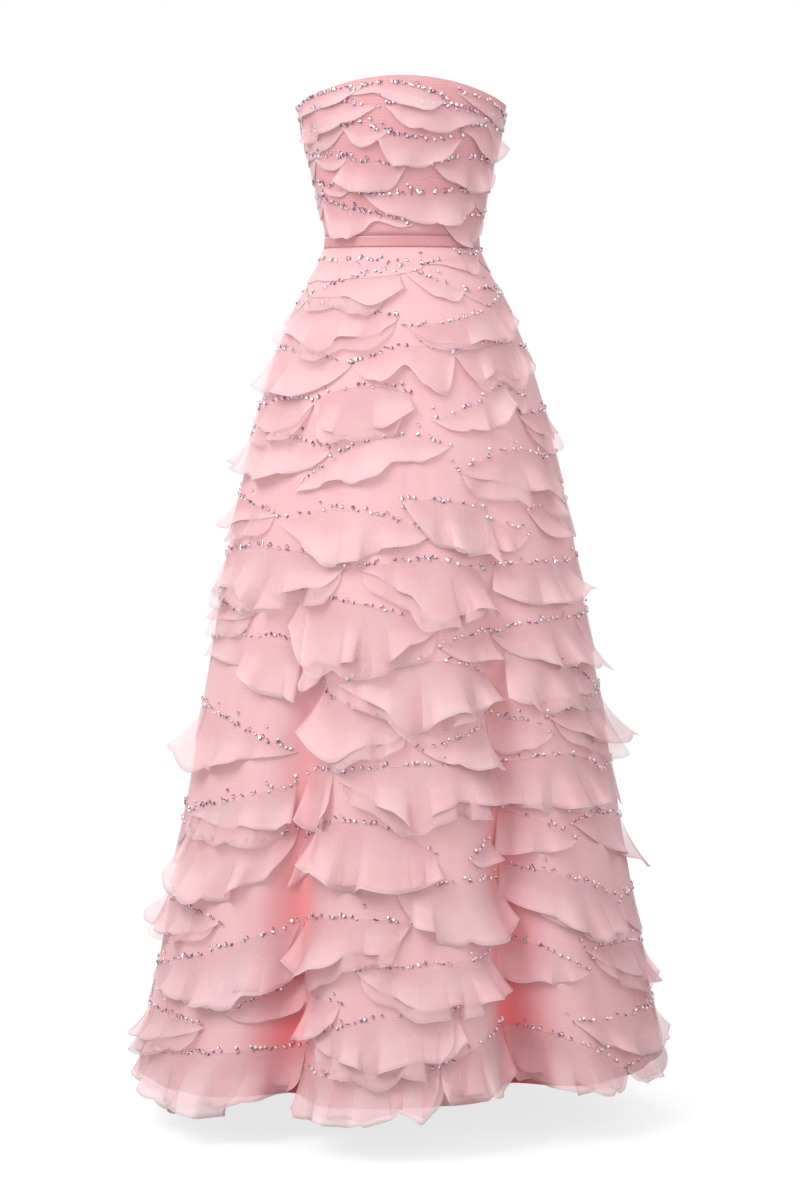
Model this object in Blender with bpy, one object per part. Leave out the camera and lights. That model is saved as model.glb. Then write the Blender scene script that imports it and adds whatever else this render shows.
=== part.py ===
"""Strapless gown: fitted bodice, satin waistband and full skirt, dressed in tiers of petal ruffles.

Metres, +Z up. The origin is at the middle of the waistband, on the body's axis, and the front faces -Y.
Places on the cloth are an angle round the body and a drop below the origin. Angles are in degrees:
0 is centre front, 90 is the +X side, -90 is the -X side and 180 is centre back.
"""

from typing import NamedTuple

import bmesh
import bpy
import numpy as np

MM = 0.001

# Walls, seams and the least room between layers, measured square to the cloth.
BASE_WALL = 1.4 * MM
BAND_WALL = 2.2 * MM
RUFFLE_WALL = 1.25 * MM
SEAM_GAP = 0.3 * MM
LAYER_ROOM = 1.0 * MM

# The waistband is 15 mm high, and a seam's gap parts it from the bodice and from the skirt.
BAND_HALF_HEIGHT = 7.5 * MM
BODICE_BOTTOM = BAND_HALF_HEIGHT + SEAM_GAP
SKIRT_TOP = -BAND_HALF_HEIGHT - SEAM_GAP

# Heights of the bodice's top edge.
TOP_AT_FRONT = 222 * MM
TOP_AT_SIDES = 188 * MM
TOP_AT_BACK = 160 * MM
LEAST_TOP_MARGIN = 5 * MM

# Heights of the skirt's own hem, under the last tier. It hangs a little lower on the -X side.
HEM_AT_MIDDLE = -1140 * MM
HEM_TILT = 12 * MM

# Rows of the walls: as shares of the bodice's height, and as drops of the skirt below the origin.
BODICE_ROWS = (1.0, 0.8, 0.6, 0.4, 0.2, 0.0)
SKIRT_ROWS_MM = (45, 85, 130, 180, 240, 310, 400, 510, 640, 790, 960)

# Steps between columns, in degrees.
BODICE_STEP = 10.0
SKIRT_FRONT_STEP = 5.0
SKIRT_BACK_STEP = 7.5

# A ruffle stands away from the cloth by this share of its fall, and its waves add or take a part.
LIFT = 0.40
WAVE = 0.11
TAPE_FALL = 8 * MM
LEAST_STEP = 14 * MM
BACK_FALL = 0.94


class Section(NamedTuple):
    """The body of the gown at one height: half its width, and its depth before and behind the axis."""

    height: float
    half_width: float
    front_depth: float
    back_depth: float


SECTIONS = (
    Section(0.235, 0.150, 0.108, 0.110),
    Section(0.190, 0.1445, 0.112, 0.106),
    Section(0.147, 0.136, 0.110, 0.100),
    Section(0.105, 0.1265, 0.101, 0.094),
    Section(0.050, 0.115, 0.090, 0.088),
    Section(0.000, 0.107, 0.084, 0.087),
    Section(-0.080, 0.143, 0.112, 0.124),
    Section(-0.140, 0.170, 0.133, 0.154),
    Section(-0.210, 0.193, 0.154, 0.178),
    Section(-0.350, 0.227, 0.188, 0.216),
    Section(-0.620, 0.276, 0.244, 0.272),
    Section(-0.900, 0.324, 0.294, 0.326),
    Section(-1.220, 0.386, 0.352, 0.392),
)


class Fold(NamedTuple):
    """A valley that deepens from the hip to the hem: its angle, its depth at the hem and its half width."""

    angle: float
    depth: float
    spread: float


FOLDS = (
    Fold(-30.0, 0.085, 6.5),
    Fold(30.0, 0.090, 6.0),
    Fold(112.5, 0.062, 9.0),
    Fold(157.5, 0.072, 8.5),
    Fold(202.5, 0.072, 8.5),
    Fold(247.5, 0.062, 9.0),
)
FOLD_START = -0.28
FOLD_LENGTH = 0.90


class Petal(NamedTuple):
    """One ruffle piece of a tier. Angles are in degrees, and drops and falls are in millimetres.

    A drop is how far the sewn line lies below the origin, and a fall is how far the free edge hangs
    below the sewn line, each at the piece's left end, middle and right end.
    """

    left: float
    left_drop: float
    middle_drop: float
    right: float
    right_drop: float
    left_fall: float
    middle_fall: float
    right_fall: float


class Tier(NamedTuple):
    """A row of petals on one tape, with the tape's drop at the -X side and at the +X side."""

    name: str
    left_side_drop: float
    right_side_drop: float
    petals: tuple


BODICE_TIERS = (
    Tier("bodice_ruffle_1", -182, -164, (
        Petal(-82, -182, -198, -22, -208, 18, 20, 14),
        Petal(-22, -208, -204, 28, -190, 12, 34, 16),
        Petal(33, -198, -182, 70, -168, 14, 18, 12),
    )),
    Tier("bodice_ruffle_2", -150, -148, (
        Petal(-88, -152, -174, -14, -178, 20, 24, 12),
        Petal(-7, -176, -178, 56, -170, 12, 34, 14),
    )),
    Tier("bodice_ruffle_3", -130, -134, (
        Petal(-36, -150, -146, 34, -134, 16, 42, 14),
        Petal(36, -148, -154, 74, -150, 16, 46, 36),
    )),
    Tier("bodice_ruffle_4", -108, -104, (
        Petal(-72, -114, -113, -45, -112, 12, 20, 10),
        Petal(-44, -106, -106, 4, -98, 12, 40, 12),
        Petal(18, -104, -108, 72, -106, 14, 38, 16),
    )),
    Tier("bodice_ruffle_5", -78, -66, (
        Petal(-62, -80, -78, -30, -66, 10, 16, 10),
        Petal(-26, -62, -68, 60, -62, 12, 44, 14),
    )),
    Tier("bodice_ruffle_6", -56, -42, (
        Petal(-72, -58, -46, 8, -22, 16, 44, 12),
        Petal(20, -24, -34, 74, -42, 12, 38, 16),
    )),
)

SKIRT_TIERS = (
    Tier("skirt_ruffle_00", 24, 24, (
        Petal(10, 30, 22, 66, 18, 12, 28, 12),
    )),
    Tier("skirt_ruffle_01", 70, 54, (
        Petal(-66, 74, 54, -2, 40, 10, 46, 12),
        Petal(-2, 40, 54, 36, 70, 12, 32, 12),
    )),
    Tier("skirt_ruffle_02", 88, 76, (
        Petal(-88, 88, 90, -2, 104, 14, 52, 12),
        Petal(2, 116, 104, 69, 76, 12, 36, 38),
    )),
    Tier("skirt_ruffle_03", 164, 146, (
        Petal(-88, 164, 152, -22, 168, 34, 64, 14),
        Petal(-22, 168, 156, -2, 146, 14, 34, 32),
        Petal(-1, 146, 144, 22, 150, 34, 62, 34),
        Petal(24, 152, 142, 66, 136, 42, 44, 36),
        Petal(68, 142, 142, 86, 146, 16, 24, 20),
    )),
    Tier("skirt_ruffle_04", 232, 238, (
        Petal(-80, 230, 216, -30, 210, 14, 38, 46),
        Petal(-30, 210, 200, 2, 210, 14, 34, 12),
        Petal(11, 240, 222, 45, 190, 14, 34, 46),
        Petal(46, 196, 204, 60, 214, 14, 28, 16),
        Petal(62, 234, 237, 80, 240, 20, 30, 38),
    )),
    Tier("skirt_ruffle_05", 284, 300, (
        Petal(-88, 282, 266, -34, 280, 32, 58, 40),
        Petal(-33, 318, 278, 8, 298, 14, 42, 12),
        Petal(14, 314, 290, 37, 284, 14, 40, 46),
        Petal(39, 284, 288, 64, 296, 50, 54, 50),
    )),
    Tier("skirt_ruffle_06", 352, 364, (
        Petal(-82, 350, 358, -48, 372, 46, 30, 12),
        Petal(-40, 374, 364, 4, 386, 14, 72, 14),
        Petal(6, 350, 350, 30, 362, 16, 66, 72),
        Petal(31, 376, 384, 46, 398, 44, 34, 14),
        Petal(48, 366, 360, 66, 360, 14, 40, 48),
    )),
    Tier("skirt_ruffle_07", 434, 444, (
        Petal(-82, 432, 418, -38, 410, 30, 62, 72),
        Petal(-33, 418, 424, -17, 434, 56, 50, 12),
        Petal(-14, 440, 430, 26, 446, 14, 74, 54),
        Petal(32, 440, 434, 64, 438, 54, 60, 46),
    )),
    Tier("skirt_ruffle_08", 494, 520, (
        Petal(-86, 494, 500, -51, 506, 30, 18, 12),
        Petal(-34, 478, 488, 9, 516, 40, 82, 14),
        Petal(11, 542, 532, 28, 526, 12, 30, 38),
        Petal(30, 530, 514, 68, 516, 14, 60, 72),
    )),
    Tier("skirt_ruffle_09", 552, 622, (
        Petal(-84, 550, 536, -33, 536, 56, 80, 84),
        Petal(-32, 536, 534, -23, 540, 78, 70, 40),
        Petal(-18, 590, 572, -1, 562, 16, 40, 52),
        Petal(0, 562, 568, 26, 580, 54, 84, 32),
        Petal(34, 548, 572, 74, 616, 76, 50, 14),
    )),
    Tier("skirt_ruffle_10", 640, 640, (
        Petal(-76, 638, 640, -34, 666, 70, 72, 20),
        Petal(-24, 614, 628, 2, 652, 40, 44, 14),
        Petal(6, 674, 664, 25, 652, 14, 40, 62),
        Petal(27, 638, 646, 44, 662, 56, 40, 14),
        Petal(46, 642, 634, 77, 634, 14, 48, 62),
    )),
    Tier("skirt_ruffle_11", 782, 740, (
        Petal(-72, 782, 758, -34, 732, 12, 36, 22),
        Petal(-29, 714, 710, -20, 706, 72, 78, 80),
        Petal(-18, 706, 698, 16, 696, 16, 66, 56),
        Petal(28, 710, 694, 66, 722, 40, 70, 36),
    )),
    Tier("skirt_ruffle_12", 806, 804, (
        Petal(-70, 806, 812, -33, 800, 78, 76, 22),
        Petal(-31, 812, 790, -20, 776, 64, 24, 12),
        Petal(-19, 774, 774, 2, 792, 14, 82, 46),
        Petal(18, 820, 812, 25, 802, 14, 22, 20),
        Petal(30, 762, 778, 49, 806, 54, 46, 12),
        Petal(51, 786, 782, 84, 800, 14, 58, 72),
    )),
    Tier("skirt_ruffle_13", 902, 916, (
        Petal(-86, 902, 908, -50, 916, 50, 46, 20),
        Petal(-27, 900, 888, 2, 906, 58, 64, 16),
        Petal(4, 852, 848, 26, 848, 18, 74, 50),
        Petal(29, 836, 856, 66, 900, 42, 70, 16),
    )),
    Tier("skirt_ruffle_14", 1006, 980, (
        Petal(-82, 1002, 972, -32, 922, 16, 58, 60),
        Petal(-10, 962, 958, 22, 950, 16, 48, 44),
        Petal(27, 932, 948, 46, 980, 48, 50, 14),
        Petal(48, 956, 958, 80, 974, 16, 42, 64),
    )),
    Tier("skirt_ruffle_15", 1066, 1058, (
        Petal(-86, 1066, 1056, -50, 1056, 48, 40, 16),
        Petal(-43, 1034, 1010, -27, 974, 16, 42, 60),
        Petal(-22, 1006, 1006, -15, 1010, 62, 50, 30),
        Petal(-14, 1048, 1030, 6, 1016, 16, 56, 50),
        Petal(40, 1038, 1046, 76, 1054, 16, 56, 58),
    )),
    Tier("skirt_ruffle_16", 1140, 1126, (
        Petal(-84, 1138, 1098, -26, 1080, 44, 72, 56),
        Petal(-24, 1098, 1106, 6, 1086, 52, 52, 62),
        Petal(8, 1088, 1068, 20, 1056, 54, 66, 74),
        Petal(21, 1052, 1072, 56, 1120, 62, 70, 24),
        Petal(57, 1112, 1118, 86, 1126, 24, 40, 34),
    )),
)

# The first tier of the skirt has one petal only, so its tape ends beside it.
SHORT_TIERS = {"skirt_ruffle_00": (10.0, 70.0)}

# Waves of the free edges: how many go round the gown, and how far each tier's are turned.
WAVES_ROUND = 22
WAVE_TURN = 1.9


class Finish(NamedTuple):
    """A cloth's colour in linear light, and its roughness."""

    colour: tuple
    roughness: float


TULLE = Finish((0.67, 0.39, 0.40), 0.75)
SATIN = Finish((0.80, 0.47, 0.48), 0.42)
ORGANZA = Finish((0.90, 0.60, 0.63), 0.62)


def clear_scene():
    """Remove every object, so that the file holds the gown alone."""
    for thing in list(bpy.data.objects):
        bpy.data.objects.remove(thing, do_unlink=True)


def smooth_table(heights, values, wanted):
    """Read a falling table at the wanted heights, on a smooth curve through its rows."""
    heights = np.asarray(heights)[::-1]
    values = np.asarray(values)[::-1]
    slopes = np.gradient(values, heights)
    wanted = np.clip(wanted, heights[0], heights[-1])
    row = np.clip(np.searchsorted(heights, wanted) - 1, 0, len(heights) - 2)
    span = heights[row + 1] - heights[row]
    share = (wanted - heights[row]) / span
    back = share - 1.0
    return (
        values[row] * (1 + 2 * share) * back**2
        + slopes[row] * span * share * back**2
        + values[row + 1] * share**2 * (3 - 2 * share)
        + slopes[row + 1] * span * share**2 * back
    )


def body_size(height):
    """Half width, front depth and back depth of the gown at a height."""
    heights = [section.height for section in SECTIONS]
    columns = ("half_width", "front_depth", "back_depth")
    return [
        smooth_table(heights, [getattr(section, column) for section in SECTIONS], height)
        for column in columns
    ]


def fold_depth(angle, height):
    """How far the valleys draw the cloth in at a place."""
    growth = np.clip((FOLD_START - height) / FOLD_LENGTH, 0.0, 1.0)
    depth = 0.0
    for fold in FOLDS:
        away = (angle - fold.angle + 180.0) % 360.0 - 180.0
        depth = depth + fold.depth * np.exp(-0.5 * (away / fold.spread) ** 2)
    return depth * growth


def cloth_place(angle, height):
    """A point of the body cloth's outer face and its level outward direction."""
    half_width, front_depth, back_depth = body_size(height)
    turn = np.radians(angle)
    depth = np.where(np.cos(turn) >= 0.0, front_depth, back_depth)
    outward = np.array([np.sin(turn) / half_width, -np.cos(turn) / depth, 0.0 * turn])
    outward = outward / np.linalg.norm(outward, axis=0)
    point = np.array([half_width * np.sin(turn), -depth * np.cos(turn), height])
    return point - outward * fold_depth(angle, height), outward


def top_edge(angle):
    """Height of the bodice's top edge: arched over the bust and lower at the back."""
    turn = np.radians(angle)
    middle = TOP_AT_FRONT if np.cos(turn) >= 0.0 else TOP_AT_BACK
    return TOP_AT_SIDES + (middle - TOP_AT_SIDES) * np.cos(turn) ** 2


def hem_edge(angle):
    """Height of the skirt's own hem."""
    return HEM_AT_MIDDLE + HEM_TILT * np.sin(np.radians(angle))


class Column:
    """The body cloth along one angle, from the bodice's top edge to the hem, as straight stretches."""

    def __init__(self, angle):
        self.angle = angle
        top = top_edge(angle)
        bodice = [BODICE_BOTTOM + share * (top - BODICE_BOTTOM) for share in BODICE_ROWS]
        band = [BAND_HALF_HEIGHT, -BAND_HALF_HEIGHT]
        skirt = [SKIRT_TOP] + [-drop * MM for drop in SKIRT_ROWS_MM] + [hem_edge(angle)]
        self.rows = {"bodice": bodice, "band": band, "skirt": skirt}
        self.heights = np.array(bodice + band + skirt)
        places = [cloth_place(angle, height) for height in self.heights]
        self.points = np.array([point for point, _ in places])
        self.outward = np.array([outward for _, outward in places])
        self.stretch = np.ones(len(self.heights))

    def widen_steep_walls(self, neighbour):
        """On a valley's flank, lengthen the level offsets so that a wall keeps its thickness."""
        run = neighbour.points - self.points
        out = np.abs(np.sum(run * self.outward, axis=1))
        along = np.sqrt(np.maximum(np.sum(run * run, axis=1) - out**2, 1e-9))
        self.stretch = np.maximum(self.stretch, np.hypot(1.0, out / along))

    def at(self, height, offset):
        """The point that lies at this height and this far outside the cloth."""
        falling = self.heights[::-1]
        point = [np.interp(height, falling, self.points[::-1, axis]) for axis in range(3)]
        outward = [np.interp(height, falling, self.outward[::-1, axis]) for axis in range(3)]
        stretch = np.interp(height, falling, self.stretch[::-1])
        place = np.array(point) + np.array(outward) * offset * stretch
        return np.array([place[0], place[1], height])


def make_columns(first, last, step):
    """Columns from one angle to another, with the walls on steep flanks widened."""
    angles = np.arange(first, last + step / 2, step)
    columns = [Column(angle) for angle in angles]
    for left, right in zip(columns[:-1], columns[1:]):
        left.widen_steep_walls(right)
        right.widen_steep_walls(left)
    return columns


def part_ends(faces):
    """Move the end columns of a piece in by half a seam's gap, along the cloth."""
    for end, inner in ((0, 1), (-1, -2)):
        for face in faces:
            run = face[inner] - face[end]
            run = run * np.array([1.0, 1.0, 0.0])
            length = np.linalg.norm(run, axis=1, keepdims=True)
            face[end] = face[end] + run / length * (SEAM_GAP / 2)


def wall_mesh(name, outer, inner, finish, wall_ends=True):
    """A closed wall between two grids of points, each with a column of points for each angle."""
    outer = np.array(outer)
    inner = np.array(inner)
    if wall_ends:
        part_ends([outer, inner])
    columns, rows = outer.shape[:2]
    mesh = bmesh.new()
    skins = [[[mesh.verts.new(point) for point in column] for column in skin] for skin in (outer, inner)]

    def side(a, b, c, d, valley):
        """Two triangles for the four-sided face a, b, c, d, split from a to c or from b to d."""
        triangles = ((a, b, c), (a, c, d)) if valley else ((b, c, d), (b, d, a))
        for corners in triangles:
            mesh.faces.new(corners)

    for i in range(columns - 1):
        for j in range(rows - 1):
            corner = outer[i, j], outer[i + 1, j], outer[i + 1, j + 1], outer[i, j + 1]
            facing = np.cross(corner[2] - corner[0], corner[3] - corner[1])
            bulge = np.dot(corner[0] + corner[2] - corner[1] - corner[3], facing)
            valley = bulge > 0.0
            out, inn = skins
            side(out[i][j], out[i][j + 1], out[i + 1][j + 1], out[i + 1][j], valley)
            side(inn[i + 1][j], inn[i + 1][j + 1], inn[i][j + 1], inn[i][j], not valley)
    for j, flip in ((0, False), (rows - 1, True)):
        for i in range(columns - 1):
            edge = [skins[0][i][j], skins[0][i + 1][j], skins[1][i + 1][j], skins[1][i][j]]
            side(*(edge[::-1] if flip else edge), True)
    for i, flip in ((0, True), (columns - 1, False)):
        for j in range(rows - 1):
            edge = [skins[0][i][j], skins[0][i][j + 1], skins[1][i][j + 1], skins[1][i][j]]
            side(*(edge[::-1] if flip else edge), True)
    bmesh.ops.recalc_face_normals(mesh, faces=mesh.faces)
    data = bpy.data.meshes.new(name)
    mesh.to_mesh(data)
    mesh.free()
    data.shade_smooth()
    data.set_sharp_from_angle(angle=np.radians(40))
    thing = bpy.data.objects.new(name, data)
    bpy.context.scene.collection.objects.link(thing)
    thing.data.materials.append(cloth_material(name, finish))
    return thing


def cloth_material(name, finish):
    """The piece's own material, with its cloth's colour."""
    material = bpy.data.materials.new(name + "_cloth")
    material.use_nodes = True
    shader = material.node_tree.nodes["Principled BSDF"]
    shader.inputs["Base Color"].default_value = (*finish.colour, 1.0)
    shader.inputs["Roughness"].default_value = finish.roughness
    shader.inputs["Metallic"].default_value = 0.0
    return material


def body_piece(name, columns, region, outer_offset, inner_offset, finish):
    """A panel of the bodice, the waistband or the skirt."""
    outer = [[column.at(height, outer_offset) for height in column.rows[region]] for column in columns]
    inner = [[column.at(height, inner_offset) for height in column.rows[region]] for column in columns]
    wall_mesh(name, outer, inner, finish)


def through_three(first, middle, last, share):
    """A smooth curve through three values, at a share of the way."""
    return (
        first * (1 - share) * (1 - 2 * share)
        + middle * 4 * share * (1 - share)
        + last * share * (2 * share - 1)
    )


def tier_line(tier, angle):
    """Drop of a tier's sewn line and fall of its free edge at an angle of the front, in millimetres."""
    left_angle, left_drop = -90.0, tier.left_side_drop
    for petal in tier.petals:
        if angle < petal.left:
            share = (angle - left_angle) / (petal.left - left_angle)
            return left_drop + share * (petal.left_drop - left_drop), TAPE_FALL / MM
        if angle <= petal.right:
            share = (angle - petal.left) / (petal.right - petal.left)
            drop = through_three(petal.left_drop, petal.middle_drop, petal.right_drop, share)
            fall = through_three(petal.left_fall, petal.middle_fall, petal.right_fall, share)
            return drop, max(fall, TAPE_FALL / MM)
        left_angle, left_drop = petal.right, petal.right_drop
    share = (angle - left_angle) / (90.0 - left_angle)
    return left_drop + share * (tier.right_side_drop - left_drop), TAPE_FALL / MM


class Strip:
    """One tier's line on one column: the height of its sewn line, its fall and its reach outward."""

    def __init__(self, height, fall, reach):
        self.height = height
        self.fall = fall
        self.reach = reach

    def low(self):
        """Height of the free edge."""
        return self.height - self.fall

    def offset(self, height):
        """How far the inner face stands off the cloth at a height."""
        return SEAM_GAP + self.reach * (self.height - height) / self.fall


def mirrored_angle(angle):
    """The front angle whose ruffles a place on the back repeats."""
    return 180.0 - angle if angle > 90.0 else angle


def column_strips(column, tiers, on_bodice):
    """The strips of all tiers on one column, each lying outside those below it."""
    front_angle = mirrored_angle(column.angle)
    behind = column.angle > 90.0
    scale = top_edge(column.angle) / top_edge(front_angle) if on_bodice else 1.0
    strips = []
    for number, tier in enumerate(tiers):
        drop, fall = tier_line(tier, front_angle)
        height = -drop * MM * scale
        fall = max(fall * MM * (BACK_FALL * scale if behind else 1.0), TAPE_FALL)
        if on_bodice:
            height = min(height, top_edge(column.angle) - LEAST_TOP_MARGIN)
        if strips:
            height = min(height, strips[-1].height - LEAST_STEP)
        wave = np.sin(np.radians(column.angle) * WAVES_ROUND + WAVE_TURN * number)
        strips.append(Strip(height, fall, (LIFT + WAVE * wave) * fall))
    for upper in range(len(strips) - 2, -1, -1):
        strip = strips[upper]
        for other in strips[upper + 1:]:
            if strip.low() >= other.height:
                continue
            meeting = max(strip.low(), other.low())
            needed = other.offset(meeting) + RUFFLE_WALL + LAYER_ROOM - SEAM_GAP
            strip.reach = max(strip.reach, needed * strip.fall / (strip.height - meeting))
    return strips


def ruffle_pieces(columns, tiers, side, on_bodice):
    """Every tier's strip over these columns, as a wall from its sewn line to its free edge."""
    stacks = [column_strips(column, tiers, on_bodice) for column in columns]
    for number, tier in enumerate(tiers):
        first, last = SHORT_TIERS.get(tier.name, (-90.0, 90.0))
        outer = []
        inner = []
        for column, stack in zip(columns, stacks):
            if not first <= mirrored_angle(column.angle) <= last:
                continue
            strip = stack[number]
            for skin, offset in ((outer, RUFFLE_WALL), (inner, 0.0)):
                ends = (strip.height, strip.low())
                skin.append([column.at(end, strip.offset(end) + offset) for end in ends])
        wall_mesh(f"{tier.name}_{side}", outer, inner, ORGANZA)


def make_bodice():
    """Front panel and two back panels, which meet at the centre-back seam, and the bodice's tiers."""
    for name, first, last in (
        ("bodice_front", -90.0, 90.0),
        ("bodice_back_left", 90.0, 180.0),
        ("bodice_back_right", 180.0, 270.0),
    ):
        columns = make_columns(first, last, BODICE_STEP)
        body_piece(name, columns, "bodice", 0.0, -BASE_WALL, TULLE)
    ruffle_pieces(make_columns(-90.0, 90.0, BODICE_STEP), BODICE_TIERS, "front", True)
    ruffle_pieces(make_columns(90.0, 270.0, BODICE_STEP), BODICE_TIERS, "back", True)


def make_waistband():
    """A flat satin band in a front and two back pieces, a little thicker than the cloth it joins."""
    proud = BAND_WALL - BASE_WALL
    for name, first, last in (
        ("waistband_front", -90.0, 90.0),
        ("waistband_back_left", 90.0, 180.0),
        ("waistband_back_right", 180.0, 270.0),
    ):
        columns = make_columns(first, last, BODICE_STEP)
        body_piece(name, columns, "band", proud, -BASE_WALL, SATIN)


def make_skirt():
    """Front panel and two back panels with deep folds, and the skirt's tiers."""
    for name, first, last, step in (
        ("skirt_front", -90.0, 90.0, SKIRT_FRONT_STEP),
        ("skirt_back_left", 90.0, 180.0, SKIRT_BACK_STEP),
        ("skirt_back_right", 180.0, 270.0, SKIRT_BACK_STEP),
    ):
        columns = make_columns(first, last, step)
        body_piece(name, columns, "skirt", 0.0, -BASE_WALL, TULLE)
    ruffle_pieces(make_columns(-90.0, 90.0, SKIRT_FRONT_STEP), SKIRT_TIERS, "front", False)
    ruffle_pieces(make_columns(90.0, 270.0, SKIRT_BACK_STEP), SKIRT_TIERS, "back", False)


def main():
    """Build the whole gown."""
    clear_scene()
    make_bodice()
    make_waistband()
    make_skirt()


main()
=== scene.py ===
"""Looks of the strapless gown: sheer petal ruffles, tulle bodice and skirt, satin waistband and beading.

Metres, +Z up, front towards -Y. A place on the cloth is an angle round the body in degrees (0 at centre
front, 90 at +X, 180 at centre back) and a drop below the waistband's middle in millimetres.
"""

import logging
import math
from dataclasses import dataclass, field, replace
from enum import Enum

import bpy
import numpy as np
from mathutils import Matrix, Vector


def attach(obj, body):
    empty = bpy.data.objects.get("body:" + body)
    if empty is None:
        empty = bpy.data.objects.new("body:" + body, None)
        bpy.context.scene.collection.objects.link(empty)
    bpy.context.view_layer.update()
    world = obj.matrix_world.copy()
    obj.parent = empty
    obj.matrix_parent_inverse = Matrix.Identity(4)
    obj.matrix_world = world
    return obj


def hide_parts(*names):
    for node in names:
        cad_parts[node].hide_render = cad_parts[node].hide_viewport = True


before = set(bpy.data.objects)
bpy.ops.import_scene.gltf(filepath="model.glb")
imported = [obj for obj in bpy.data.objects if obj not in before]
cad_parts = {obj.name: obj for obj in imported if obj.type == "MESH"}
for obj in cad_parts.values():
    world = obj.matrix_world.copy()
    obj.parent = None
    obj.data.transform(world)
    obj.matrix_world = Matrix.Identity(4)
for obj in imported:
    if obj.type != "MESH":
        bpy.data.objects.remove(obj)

LOG = logging.getLogger("gown")
MM = 0.001
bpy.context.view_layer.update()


class Slot(Enum):
    """Material slots of the gown's pieces."""

    TULLE = "tulle"
    SATIN = "satin"
    ORGANZA = "organza"
    CRYSTAL = "crystal"
    SILVER = "silver_bead"


# The form of the body cloth


@dataclass(frozen=True)
class Section:
    """Half width and depths of the body cloth at one height, in metres."""

    height: float
    half_width: float
    front_depth: float
    back_depth: float


@dataclass(frozen=True)
class Valley:
    """A fold that deepens from the hip to the hem, its depth in metres and its spread in degrees."""

    angle: float
    depth: float
    spread: float


@dataclass(frozen=True)
class Crease:
    """A soft trough in a panel.

    It runs from the top drop to the low drop and has a depth, all in millimetres. The spread is its half
    width and the lean is how far it turns round the body on its way down, both in degrees.
    """

    angle: float
    top_drop: float
    low_drop: float
    depth: float
    spread: float
    lean: float = 0.0


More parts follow.
